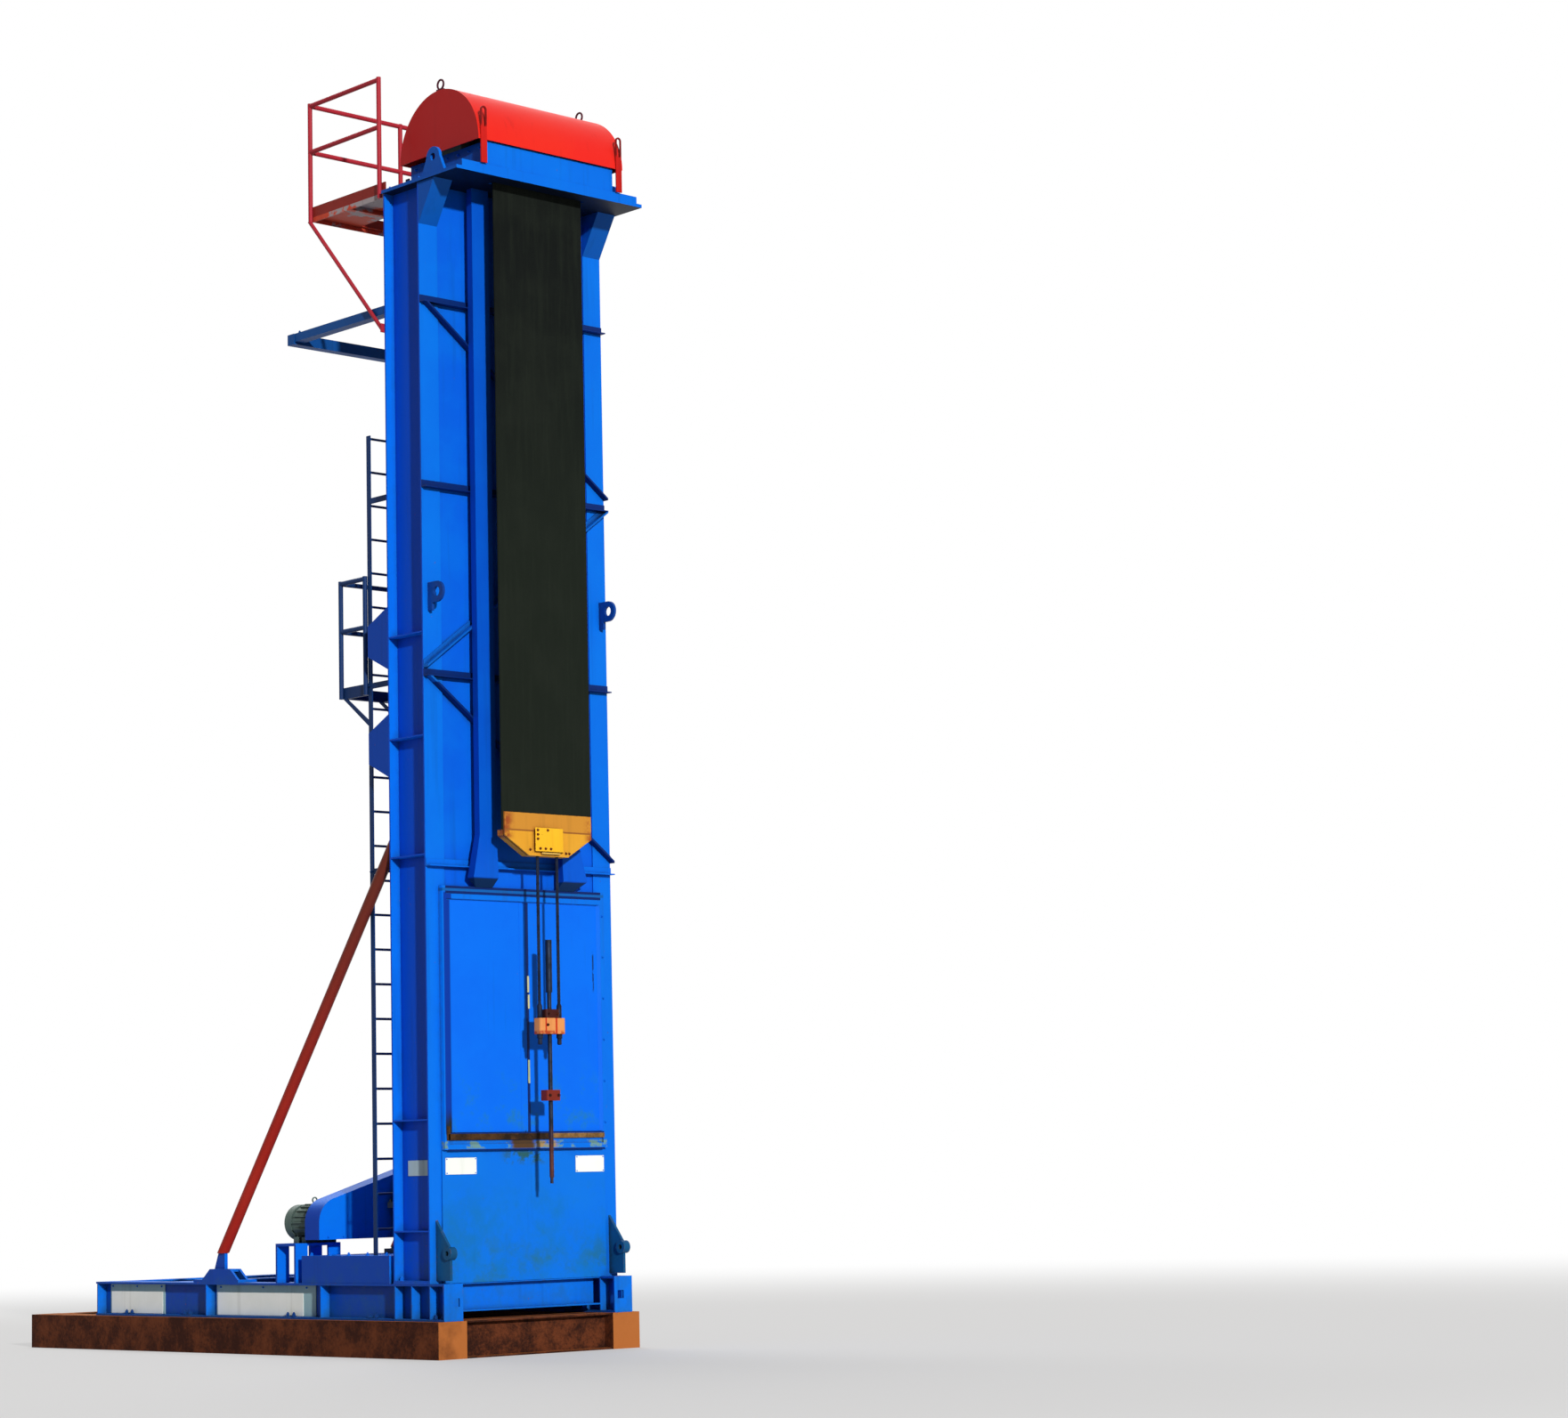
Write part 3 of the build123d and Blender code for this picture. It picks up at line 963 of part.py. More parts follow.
def build():
    """Make every node of the unit."""
    os.makedirs("parts", exist_ok=True)

    save_pair("base_rails", foundation_rail())
    save("base_ties", *foundation_ties())
    save_pair("skid_beams", skid_beam())
    save("skid_ties", *skid_ties())
    save_pair("columns", column())

    front_struts, front_diagonals = tower_bracing(FRONT_Y, -1, COLUMN_OUTER_X, True)
    rear_struts, rear_diagonals = tower_bracing(REAR_Y, 1, COLUMN_INNER_X + REAR_SEAT, False)
    save("front_struts", *front_struts)
    save("front_diagonals", *front_diagonals)
    save("rear_struts", *rear_struts)
    save("rear_diagonals", *rear_diagonals)
    sheet_y = FRONT_Y + COLUMN_FLANGE_THICK - SHEET_THICK
    save("front_sheet", block(-COLUMN_INNER_X, COLUMN_INNER_X, sheet_y, sheet_y + SHEET_THICK,
                              SHEET_BOTTOM_Z, COLUMN_TOP_Z))
    save_pair("guide_rails", guide_rail())

    save("door_frame", door_frame())
    save_pair("door_leaves", door_leaf())
    save("lower_panel", block(-DOOR_HALF_WIDTH - FRAME_BAR, DOOR_HALF_WIDTH + FRAME_BAR,
                              FRONT_Y - PANEL_THICK, FRONT_Y, SKID_TOP_Z, SILL_BOTTOM_Z))

    save("deck_plate", deck_plate())
    save_pair("deck_consoles", deck_console())
    save_pair("lifting_eyes", lifting_eye())
    long_walls, end_walls = housing_walls()
    save("housing_long_walls", *long_walls)
    save("housing_end_walls", *end_walls)
    save("hood", hood())
    save("hood_latches", *hood_latches())
    save_pair("hood_rings", hood_ring())
    save("drum", drum())
    save_pair("drum_bearings", drum_bearing())

    save("load_belt", load_belt())
    save("belt_clamp", belt_clamp())
    save("hanger_ropes", hanger_rope(-1), hanger_rope(1))
    save("carrier_bar", carrier_bar())
    save("rod_clamps", rod_clamp(CARRIER_TOP_Z, UPPER_CLAMP_HEIGHT),
         rod_clamp(LOWER_CLAMP_Z, LOWER_CLAMP_HEIGHT))
    save("polished_rod", polished_rod())
    save("counterweight", counterweight())

    stiles, rungs = ladder(LADDER_LEFT_X, FIRST_RUNG_Z, MACHINE_BASE_TOP_Z, LADDER_TOP_Z)
    upper_stiles, upper_rungs = ladder(
        UPPER_LADDER_LEFT_X, LANDING_FLOOR_Z + RUNG_PITCH, LANDING_FLOOR_Z - LANDING_KNEE,
        PLATFORM_FLOOR_Z + RUNG_PITCH)
    save("ladder_stiles", *stiles, *upper_stiles)
    save("ladder_rungs", *rungs, *upper_rungs)
    save("ladder_brackets", *ladder_brackets(), *landing_knees())
    floor, stand = landing(), POST_STAND
    save("landing", floor)
    x0, x1, y1 = LADDER_LEFT_X - stand, LANDING_RIGHT_X - RAILING_RADIUS, LANDING_REAR_Y + stand
    posts, bars = railing([(x0, LADDER_Y + LADDER_RAIL / 2 + RAILING_RADIUS), (x0, y1), (x1, y1)],
                          LANDING_FLOOR_Z, LANDING_FLOOR_Z, LANDING_FLOOR_Z + RAILING_HEIGHT,
                          floor)
    save("landing_posts", *posts)
    save("landing_rails", *bars)

    floor = top_platform()
    save("top_platform", floor)
    x0, x1 = -PLATFORM_OUTER_X - stand, PLATFORM_OUTER_X + stand
    y0, y1 = REAR_Y + RAILING_START, PLATFORM_REAR_Y + stand
    posts, bars = railing([(x0, y0), (x0, y1), ((x0 + x1) / 2, y1), (x1, y1), (x1, y0)],
                          PLATFORM_BOTTOM_Z, PLATFORM_FLOOR_Z,
                          PLATFORM_FLOOR_Z + RAILING_HEIGHT, floor)
    save("platform_posts", *posts)
    save("platform_rails", *bars)
    save_pair("platform_braces", platform_brace())

    save_pair("rear_frame_arms", rear_frame_arm())
    reach, beam = COLUMN_OUTER_X, REAR_FRAME_BEAM
    save("rear_frame_bar", block(-reach, reach, REAR_FRAME_Y, REAR_FRAME_Y + beam,
                                 REAR_FRAME_TOP_Z - beam, REAR_FRAME_TOP_Z))
    save_pair("rear_brackets", *[rear_bracket(z) for z in REAR_BRACKETS_Z])

    save_pair("raking_braces", raking_brace())
    save_pair("brace_feet", brace_foot())
    save_pair("hinge_plates", hinge_plate())
    save_pair("side_lugs", side_lug())

    save("machine_base", machine_base())
    save("reducer", reducer())
    save("belt_guard", belt_guard())
    save("motor", motor())
    save("motor_stand", motor_stand())


build()
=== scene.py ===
import math
import bmesh
import bpy
from mathutils import Matrix, Vector


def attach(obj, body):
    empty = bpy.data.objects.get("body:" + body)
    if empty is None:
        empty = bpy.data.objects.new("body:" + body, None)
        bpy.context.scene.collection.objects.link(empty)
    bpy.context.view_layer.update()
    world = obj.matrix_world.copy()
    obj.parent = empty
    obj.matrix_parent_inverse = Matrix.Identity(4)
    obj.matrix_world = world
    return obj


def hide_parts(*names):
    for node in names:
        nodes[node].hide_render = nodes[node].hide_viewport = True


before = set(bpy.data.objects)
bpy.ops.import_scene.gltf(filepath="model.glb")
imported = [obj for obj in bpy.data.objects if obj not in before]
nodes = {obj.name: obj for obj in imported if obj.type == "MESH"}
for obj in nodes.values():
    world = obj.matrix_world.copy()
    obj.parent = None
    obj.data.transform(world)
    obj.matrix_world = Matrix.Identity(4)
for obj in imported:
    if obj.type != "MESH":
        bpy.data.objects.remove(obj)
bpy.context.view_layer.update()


# Foundation frame: two long box rails and their cross ties, of rolled and plate steel. They were
# primed once, have lain on the ground since, and are rusted through. Soil lies on their tops; the
# rail ends that face the front are painted lighter in its colour as lit, the ties darker as shade.

def tree_of(name, inputs, outputs, kind="ShaderNodeTree"):
    """An empty node group with named sockets, what it is given, and its results."""
    group = bpy.data.node_groups.new(name, kind)
    for label, sort, *value in inputs:
        socket = group.interface.new_socket(label, in_out="INPUT", socket_type="NodeSocket" + sort)
        if value:
            socket.default_value = value[0]
    for label, sort in outputs:
        group.interface.new_socket(label, in_out="OUTPUT", socket_type="NodeSocket" + sort)
    given = group.nodes.new("NodeGroupInput").outputs
    return group, given, group.nodes.new("NodeGroupOutput").inputs


def add(tree, kind, feeds=None, **settings):
    """A node with its settings, and its inputs linked or set."""
    node = tree.nodes.new(kind)
    for key, value in settings.items():
        setattr(node, key, value)
    for key, value in (feeds or {}).items():
        if isinstance(value, bpy.types.NodeSocket):
            tree.links.new(value, node.inputs[key])
        else:
            node.inputs[key].default_value = value
    return node


def math_node(tree, operation, a, b=0.0, clamp=False):
    """The result of one sum on two values."""
    return add(tree, "ShaderNodeMath", {0: a, 1: b}, operation=operation,
               use_clamp=clamp).outputs[0]


def times(tree, a, b):
    return math_node(tree, "MULTIPLY", a, b)


def noise(tree, vector, scale, detail=4.0, rough=0.55):
    """Plain noise from 0 to 1."""
    return add(tree, "ShaderNodeTexNoise", {"Vector": vector, "Scale": scale, "Detail": detail,
                                            "Roughness": rough}).outputs["Fac"]


def ramp(tree, value, low, high, start=0.0, end=1.0):
    """A value carried smoothly from one range to another."""
    return add(tree, "ShaderNodeMapRange", {"Value": value, "From Min": low, "From Max": high,
                                            "To Min": start, "To Max": end},
               interpolation_type="SMOOTHSTEP").outputs[0]


def blend_colour(tree, factor, under, over):
    """One colour laid over another by a mask."""
    factor_socket, under_socket, over_socket, result = 0, 6, 7, 2
    mix = add(tree, "ShaderNodeMix", data_type="RGBA")
    for index, value in ((factor_socket, factor), (under_socket, under), (over_socket, over)):
        if isinstance(value, bpy.types.NodeSocket):
            tree.links.new(value, mix.inputs[index])
        else:
            mix.inputs[index].default_value = value
    return mix.outputs[result]


def colour(chart):
    """A linear colour from the three 0-255 numbers of a paint chart."""
    def linear(c):
        c /= 255
        return c / 12.92 if c <= 0.04045 else ((c + 0.055) / 1.055) ** 2.4
    return (*map(linear, chart), 1.0)


def use(tree, group, feeds=None):
    """The results of a shared effect, placed in a tree with its own values."""
    return add(tree, "ShaderNodeGroup", feeds, node_tree=group).outputs


def facing_group():
    """How far a face looks sideways, to the front and up."""
    tree, _, result = tree_of("facing", (), (
        ("Side", "Float"), ("Front", "Float"), ("Up", "Float")))
    looks = add(tree, "ShaderNodeSeparateXYZ",
                {0: add(tree, "ShaderNodeNewGeometry").outputs["Normal"]}).outputs
    tree.links.new(math_node(tree, "ABSOLUTE", looks["X"]), result["Side"])
    tree.links.new(times(tree, looks["Y"], -1.0), result["Front"])
    tree.links.new(looks["Z"], result["Up"])
    return tree


def rust_group():
    """Rust in dark scale and lighter bloom, with the pits between."""
    tree, given, result = tree_of("rust_mottle", (
        ("Vector", "Vector"), ("Scale", "Float"), ("Dark Scale", "Color"), ("Bloom", "Color")),
        (("Color", "Color"), ("Height", "Float")))
    broad = noise(tree, given["Vector"], given["Scale"], 6.0, 0.65)
    fine = noise(tree, given["Vector"], times(tree, given["Scale"], 9.0), 5.0, 0.7)
    mixed = math_node(tree, "ADD", times(tree, broad, 0.65), times(tree, fine, 0.35))
    tree.links.new(blend_colour(tree, ramp(tree, mixed, 0.4, 0.64), given["Dark Scale"],
                                given["Bloom"]), result["Color"])
    tree.links.new(mixed, result["Height"])
    return tree


def dust_and_lit_front_group():
    """A mask of settled soil on what looks up and, by a share, of painted light on what
    faces the front.
    """
    tree, given, result = tree_of("settled_dust_and_lit_front", (
        ("Vector", "Vector"), ("Front Share", "Float")), (("Mask", "Float"),))
    looks = use(tree, FACING)
    dusty_and_lit = math_node(tree, "MAXIMUM", ramp(tree, looks["Up"], 0.3, 0.95, 0.0, 0.7),
                      ramp(tree, looks["Front"], 0.5, 0.9, 0.0, given["Front Share"]))
    patchy = ramp(tree, noise(tree, given["Vector"], 2.5), 0.2, 0.5)
    tree.links.new(times(tree, dusty_and_lit, patchy), result["Mask"])
    return tree


FACING = facing_group()
RUST = rust_group()
DUST_AND_LIT_FRONT = dust_and_lit_front_group()


def new_material(name, sheen):
    """A material with its shader, and the place of each point of the piece."""
    material = bpy.data.materials.new(name)
    material.use_nodes = True
    tree = material.node_tree
    shader = tree.nodes["Principled BSDF"]
    shader.inputs["Specular IOR Level"].default_value = sheen
    return material, tree, shader, add(tree, "ShaderNodeTexCoord").outputs["Object"]


def bump(tree, shader, height, depth):
    """Relief of a given depth in metres."""
    node = add(tree, "ShaderNodeBump", {"Height": height, "Distance": depth, "Strength": 1.0})
    tree.links.new(node.outputs[0], shader.inputs["Normal"])


RUST_SHEEN, RUST_RELIEF = 0.15, 0.004


def rusted_steel(name, dark, bloom, dust_and_lit_front, scale=4.0, front=0.0):
    """Bare rusted steel with soil on what looks up and, by choice, its colour painted as
    light on what faces the front.
    """
    material, tree, shader, where = new_material(name, RUST_SHEEN)
    rust = use(tree, RUST, {"Vector": where, "Scale": scale, "Dark Scale": colour(dark),
                            "Bloom": colour(bloom)})
    dusty_and_lit = use(tree, DUST_AND_LIT_FRONT, {"Vector": where, "Front Share": front})["Mask"]
    tree.links.new(blend_colour(tree, dusty_and_lit, rust["Color"], colour(dust_and_lit_front)),
                   shader.inputs["Base Color"])
    tree.links.new(ramp(tree, rust["Height"], 0.3, 0.7, 0.95, 0.75), shader.inputs["Roughness"])
    bump(tree, shader, rust["Height"], RUST_RELIEF)
    return material


def finish_node(material, *names):
    """Gives CAD nodes their finish."""
    for name in names:
        nodes[name].data.materials.clear()
        nodes[name].data.materials.append(material)


SOIL_AND_LIT_FRONT = (190, 112, 54)
# The rail ends that face the front get the soil colour as painted light.
finish_node(rusted_steel("foundation_rust", (52, 22, 12), (104, 52, 26), SOIL_AND_LIT_FRONT, front=0.85),
            "base_rails")
# The ties get a darker rust and no lit front: painted shade.
finish_node(rusted_steel("tie_rust", (44, 20, 12), (104, 52, 26), SOIL_AND_LIT_FRONT), "base_ties")


# Skid: two wide-flange beams with stiffeners and box ties, welded, in the maker's blue enamel.
# It is bolted to the foundation frame by clips. Two bare name boards are screwed to the left web.

def fade_group():
    """A mask of paint bleached by the sun, in broad clouds."""
    tree, given, result = tree_of("sun_fade", (
        ("Vector", "Vector"), ("Amount", "Float")), (("Mask", "Float"),))
    clouds = noise(tree, given["Vector"], 1.7, 5.0, 0.6)
    tree.links.new(ramp(tree, clouds, 0.35, 0.68, 0.0, given["Amount"]), result["Mask"])
    return tree


def chip_group():
    """Paint worn through at outer edges and in spots, and the relief of coat and chips."""
    tree, given, result = tree_of("chipped_paint", (
        ("Vector", "Vector"), ("Radius", "Float"), ("Amount", "Float")),
        (("Mask", "Float"), ("Height", "Float")))
    where = given["Vector"]
    rounded = add(tree, "ShaderNodeBevel", {"Radius": given["Radius"]}, samples=4).outputs[0]
    flat = add(tree, "ShaderNodeNewGeometry").outputs["Normal"]
    turn = add(tree, "ShaderNodeVectorMath", {0: rounded, 1: flat},
               operation="DOT_PRODUCT").outputs["Value"]
    bound = math_node(tree, "SUBTRACT", 1.0, given["Amount"])
    uneven = add(tree, "ShaderNodeMapRange", {
        "Value": noise(tree, where, 14.0, 6.0, 0.7), "From Min": bound,
        "From Max": math_node(tree, "ADD", bound, 0.12)}).outputs[0]
    edges = math_node(tree, "MULTIPLY", ramp(tree, turn, 0.985, 0.8), uneven, True)
    low = math_node(tree, "SUBTRACT", 0.70, times(tree, given["Amount"], 0.1))
    spots = ramp(tree, noise(tree, where, 21.0, 6.0, 0.75), low,
                 math_node(tree, "ADD", low, 0.06))
    mask = math_node(tree, "MAXIMUM", edges, spots)
    coat = times(tree, noise(tree, where, 45.0, 2.0), 0.25)
    tree.links.new(mask, result["Mask"])
    tree.links.new(math_node(tree, "SUBTRACT", coat, mask), result["Height"])
    return tree


def grime_group():
    """A mask of soiling and painted shade in corners, and of splashed soil near the ground."""
    tree, given, result = tree_of("settled_grime", (
        ("Vector", "Vector"), ("Corner Reach", "Float"), ("Splash Height", "Float")),
        (("Mask", "Float"), ("Splash", "Float")))
    corner = add(tree, "ShaderNodeAmbientOcclusion", {"Distance": given["Corner Reach"]},
                 samples=4).outputs["AO"]
    broken = noise(tree, given["Vector"], 7.0, 5.0, 0.65)
    tree.links.new(ramp(tree, math_node(tree, "ADD", corner, times(tree, broken, 0.5)), 1.05,
                        0.55), result["Mask"])
    height = add(tree, "ShaderNodeSeparateXYZ", {0: given["Vector"]}).outputs["Z"]
    level = math_node(tree, "DIVIDE", height, given["Splash Height"])
    tree.links.new(ramp(tree, math_node(tree, "SUBTRACT", broken, times(tree, level, 0.6)), 0.05,
                        0.5), result["Splash"])
    return tree


def streak_group():
    """A mask of rain runs, long and thin down the sides."""
    tree, given, result = tree_of("rain_runs", (
        ("Vector", "Vector"), ("Fineness", "Float"), ("Amount", "Float")),
        (("Mask", "Float"),))
    stretched = add(tree, "ShaderNodeVectorMath", {0: given["Vector"], 1: (1.0, 1.0, 0.045)},
                    operation="MULTIPLY").outputs[0]
    bound = math_node(tree, "SUBTRACT", 1.0, given["Amount"])
    runs = add(tree, "ShaderNodeMapRange", {
        "Value": noise(tree, stretched, given["Fineness"], 5.0, 0.6), "From Min": bound,
        "From Max": math_node(tree, "ADD", bound, 0.25)}).outputs[0]
    upright = ramp(tree, math_node(tree, "ABSOLUTE", use(tree, FACING)["Up"]), 0.8, 0.3)
    tree.links.new(math_node(tree, "MULTIPLY", runs, upright, True), result["Mask"])
    return tree


SUN_FADE = fade_group()
CHIPS = chip_group()
GRIME_AND_CORNER_SHADE = grime_group()
RUNS = streak_group()


def overlaid(tree, where, paint, stains):
    """Paint with colours laid over it by masks: real marks, and painted light and shade.
    Each is its colour and the masks that bound it.
    """
    for over, *masks in stains:
        cover = masks[0](tree, where)
        for mask in masks[1:]:
            cover = times(tree, cover, mask(tree, where))
        paint = blend_colour(tree, cover, paint, colour(over))
    return paint


RUST_DARK, RUST_LIGHT, TEAL_SOIL = (70, 30, 16), (150, 78, 38), (34, 88, 104)
ENAMEL_SHEEN, ENAMEL_RELIEF, CORNER_REACH, RUN_FINENESS = 0.14, 0.0009, 0.09, 11.0
RUN_DIRT, SPLASH_DIRT, DIRT_DULLS, DULLEST = 0.30, 0.4, 0.8, 0.85


def enamel(name, fresh, faded, dirt_and_shade, fading=0.5, chips=0.36, runs=0.45, grime=0.6,
           splash=0.8, gloss=0.5, edge=0.010, sides=None, stains=()):
    """Sprayed enamel: faded in clouds, soiled and darkened as painted shade in its corners, chipped
    to rust at its edges, and by choice darkened as painted shade on faces that look sideways.
    """
    material, tree, shader, where = new_material(name, ENAMEL_SHEEN)
    dirt_and_shade = colour(dirt_and_shade)
    bleached = use(tree, SUN_FADE, {"Vector": where, "Amount": fading})["Mask"]
    paint = blend_colour(tree, bleached, colour(fresh), colour(faded))
    # Faces that look sideways take the darker sides colour: painted shade.
    if sides:
        sideways = ramp(tree, use(tree, FACING)["Side"], 0.5, 0.95)
        paint = blend_colour(tree, sideways, paint, colour(sides))
    paint = overlaid(tree, where, paint, stains)
    run = use(tree, RUNS, {"Vector": where, "Fineness": RUN_FINENESS, "Amount": runs})["Mask"]
    paint = blend_colour(tree, times(tree, run, RUN_DIRT), paint, dirt_and_shade)
    # The corner mask darkens corners and hollows to the soiling colour: soiling and painted shade.
    corners_and_splash = use(tree, GRIME_AND_CORNER_SHADE, {"Vector": where, "Corner Reach": CORNER_REACH,
                               "Splash Height": splash})
    dirty_and_shaded = times(tree, corners_and_splash["Mask"], grime)
    paint = blend_colour(tree, dirty_and_shaded, paint, dirt_and_shade)
    paint = blend_colour(tree, times(tree, corners_and_splash["Splash"], SPLASH_DIRT), paint,
                         colour(TEAL_SOIL))
    rust = use(tree, RUST, {"Vector": where, "Scale": 16.0, "Dark Scale": colour(RUST_DARK),
                            "Bloom": colour(RUST_LIGHT)})
    worn = use(tree, CHIPS, {"Vector": where, "Radius": edge, "Amount": chips})
    tree.links.new(blend_colour(tree, worn["Mask"], paint, rust["Color"]),
                   shader.inputs["Base Color"])
    dull = math_node(tree, "MAXIMUM", worn["Mask"], times(tree, dirty_and_shaded, DIRT_DULLS))
    tree.links.new(ramp(tree, dull, 0.0, 1.0, gloss, DULLEST), shader.inputs["Roughness"])
    bump(tree, shader, worn["Height"], ENAMEL_RELIEF)
    return material


BLUE, BLUE_FADED, BLUE_DIRT_AND_SHADE, BLUE_SHADED_SIDES = (0, 109, 226), (0, 120, 232), (8, 44, 78), (0, 76, 204)


def blue_enamel(name, **how):
    return enamel(name, BLUE, BLUE_FADED, BLUE_DIRT_AND_SHADE, **how)


# The skid's sideways faces are painted darker blue as shade.
skid_blue = blue_enamel("skid_blue", chips=0.42, grime=0.75, splash=1.1, sides=(0, 66, 172))
finish_node(skid_blue, "skid_beams", "skid_ties")


def settle(piece, slot, *replaced):
    """Tells the frame what a finished piece rides on and what it stands for. Its slot is not used.
    """
    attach(piece, "root")
    if replaced:
        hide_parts(*replaced)
    return piece


def piece_of(name, shape, material):
    """A shape put into the scene as a piece with one material."""
    mesh = bpy.data.meshes.new(name)
    shape.to_mesh(mesh)
    shape.free()
    piece = bpy.data.objects.new(name, mesh)
    bpy.context.scene.collection.objects.link(piece)
    mesh.materials.clear()
    mesh.materials.append(material)
    return piece


def solid(name, slot, material, *makers, replaced=()):
    """One piece out of several closed shapes. Boards come last, so that each run is the same."""
    shape = bmesh.new()
    for maker in makers:
        maker(shape)
    bmesh.ops.recalc_face_normals(shape, faces=shape.faces)
    return settle(piece_of(name, shape, material), slot, *replaced)


def board(centre, size, bevel=0.0):
    """A plate or block about a point, with its edges eased."""
    def make(shape):
        new = bmesh.ops.create_cube(shape, size=1.0)["verts"]
        bmesh.ops.scale(shape, vec=size, verts=new)
        if bevel:
            edges = list(dict.fromkeys(e for v in new for e in v.link_edges))
            eased = bmesh.ops.bevel(shape, geom=edges, offset=bevel, segments=2, profile=0.5,
                                    affect="EDGES")["faces"]
            new = list(dict.fromkeys([*(v for f in eased for v in f.verts),
                                      *(v for v in new if v.is_valid)]))
        bmesh.ops.translate(shape, vec=centre, verts=new)
    return make


def lay_out(tree, points, part, turn, finish, result):
    """Sets a part on every point, turned by its angles, made real and given its finish."""
    rotation = add(tree, "FunctionNodeEulerToRotation", {0: turn})
    laid = add(tree, "GeometryNodeInstanceOnPoints", {
        "Points": points.outputs[0], "Instance": part.outputs[0],
        "Rotation": rotation.outputs[0]})
    real = add(tree, "GeometryNodeRealizeInstances", {0: laid.outputs[0]})
    done = add(tree, "GeometryNodeSetMaterial", {"Geometry": real.outputs[0],
                                                 "Material": finish})
    tree.links.new(done.outputs[0], result)


def bolt_tree():
    """Geometry Nodes: a row of hexagon heads, each with its washer and stud."""
    tree, given, result = tree_of("bolt_row", (
        ("Start", "Vector"), ("Step", "Vector"), ("Turn", "Vector"),
        ("Count", "Int"), ("Head", "Float"), ("Finish", "Material")),
        (("Row", "Geometry"),), "GeometryNodeTree")
    bolt = add(tree, "GeometryNodeJoinGeometry")
    hexagon, washer, stud = (6, 1.0, 1.25, 0.8), (16, 1.45, 0.3, 0.1), (10, 0.5, 2.4, 0.9)
    for corners, radius, depth, height in (hexagon, washer, stud):
        disc = add(tree, "GeometryNodeMeshCylinder", {
            "Vertices": corners, "Radius": times(tree, given["Head"], radius),
            "Depth": times(tree, given["Head"], depth)})
        up = add(tree, "ShaderNodeCombineXYZ", {"Z": times(tree, given["Head"], height)})
        lifted = add(tree, "GeometryNodeTransform", {"Geometry": disc.outputs["Mesh"],
                                                     "Translation": up.outputs[0]})
        tree.links.new(lifted.outputs[0], bolt.inputs[0])
    line = add(tree, "GeometryNodeMeshLine", {
        "Count": given["Count"], "Start Location": given["Start"], "Offset": given["Step"]})
    lay_out(tree, line, bolt, given["Turn"], given["Finish"], result["Row"])
    return tree


def gather(shape, tree, values, place=Matrix()):
    """Adds the plain mesh that a Geometry Nodes tree makes from its named inputs."""
    holder = bpy.data.objects.new("holder", bpy.data.meshes.new("holder"))
    bpy.context.scene.collection.objects.link(holder)
    modifier = holder.modifiers.new("make", "NODES")
    modifier.node_group = tree
    for item in tree.interface.items_tree:
        if item.in_out == "INPUT" and item.name in values:
            modifier[item.identifier] = values[item.name]
    ready = holder.evaluated_get(bpy.context.evaluated_depsgraph_get())
    mesh = bpy.data.meshes.new_from_object(ready)
    holder.modifiers.clear()
    bpy.data.objects.remove(holder)
    mesh.transform(place)
    shape.from_mesh(mesh)
    bpy.data.meshes.remove(mesh)


BOLT_ROW = bolt_tree()
UP, FRONT, REAR, LEFT, RIGHT = (0, 0, 1), (0, -1, 0), (0, 1, 0), (-1, 0, 0), (1, 0, 0)


def bolts(name, slot, material, rows, head):
    """Rows of bolts as one piece. A row is its start, step, count and the way the heads face."""
    shape = bmesh.new()
    for start, step, count, facing in rows:
        turn = Vector(UP).rotation_difference(Vector(facing)).to_euler()
        gather(shape, BOLT_ROW, {"Start": start, "Step": step, "Turn": tuple(turn),
                                 "Count": count, "Head": head, "Finish": material})
    return settle(piece_of(name, shape, material), slot)


clip_navy = enamel("clip_navy", (6, 50, 128), (10, 58, 134), BLUE_DIRT_AND_SHADE, chips=0.2, grime=0.6,
                   edge=0.002)
CLIP_X, CLIP_TOP, CLIP_PITCH, CLIP_HEAD = 0.985, 0.334, 0.09, 0.016
bolts("skid_clip_bolts", "blue_paint", clip_navy, [
    ((side * CLIP_X, y, CLIP_TOP), (0, CLIP_PITCH, 0), 2, UP)
    for side in (-1, 1) for y in (-0.36, 0.55, 1.75, 3.35, 4.30)], head=CLIP_HEAD)

white_paint = enamel("board_white", (252, 254, 246), (236, 240, 230), (150, 150, 130), chips=0.1,
                     runs=0.42, grime=0.3, splash=0.2)
back_teal = enamel("board_back_teal", (146, 182, 190), (164, 194, 196), (70, 86, 90), chips=0.2,
                   runs=0.45, grime=0.5, splash=0.2)
SKID_WEB_X = -0.936
BOARD_Z, BOARD_HIGH, BOARD_THICK = 0.432, 0.200, 0.004
BACK_Z, BACK_HIGH, BACK_THICK, BACK_MARGIN = 0.464, 0.268, 0.008, 0.02
for label, y_low, y_high, past in (("rear", 3.85, 4.70, 0.03), ("front", 1.66, 2.97, 0.18)):
    length, middle = y_high - y_low, (y_low + y_high) / 2
    solid(f"skid_board_{label}", "blue_paint", white_paint, board(
        (SKID_WEB_X - BACK_THICK - BOARD_THICK / 2, middle, BOARD_Z),
        (BOARD_THICK, length, BOARD_HIGH), bevel=0.001))
    solid(f"skid_board_back_{label}", "blue_paint", back_teal, board(
        (SKID_WEB_X - BACK_THICK / 2, middle + (BACK_MARGIN - past) / 2, BACK_Z),
        (BACK_THICK, length + BACK_MARGIN + past, BACK_HIGH), bevel=0.002))
bolt_blue = blue_enamel("bolt_blue", chips=0.3, grime=0.5, edge=0.002)
SCREW_Z, SCREW_HEAD = 0.578, 0.006
bolts("board_screws", "blue_paint", bolt_blue, [
    ((SKID_WEB_X - BACK_THICK, y, SCREW_Z), (0, step, 0), 3, LEFT)
    for y, step in ((3.87, 0.405), (1.61, 0.655))], head=SCREW_HEAD)
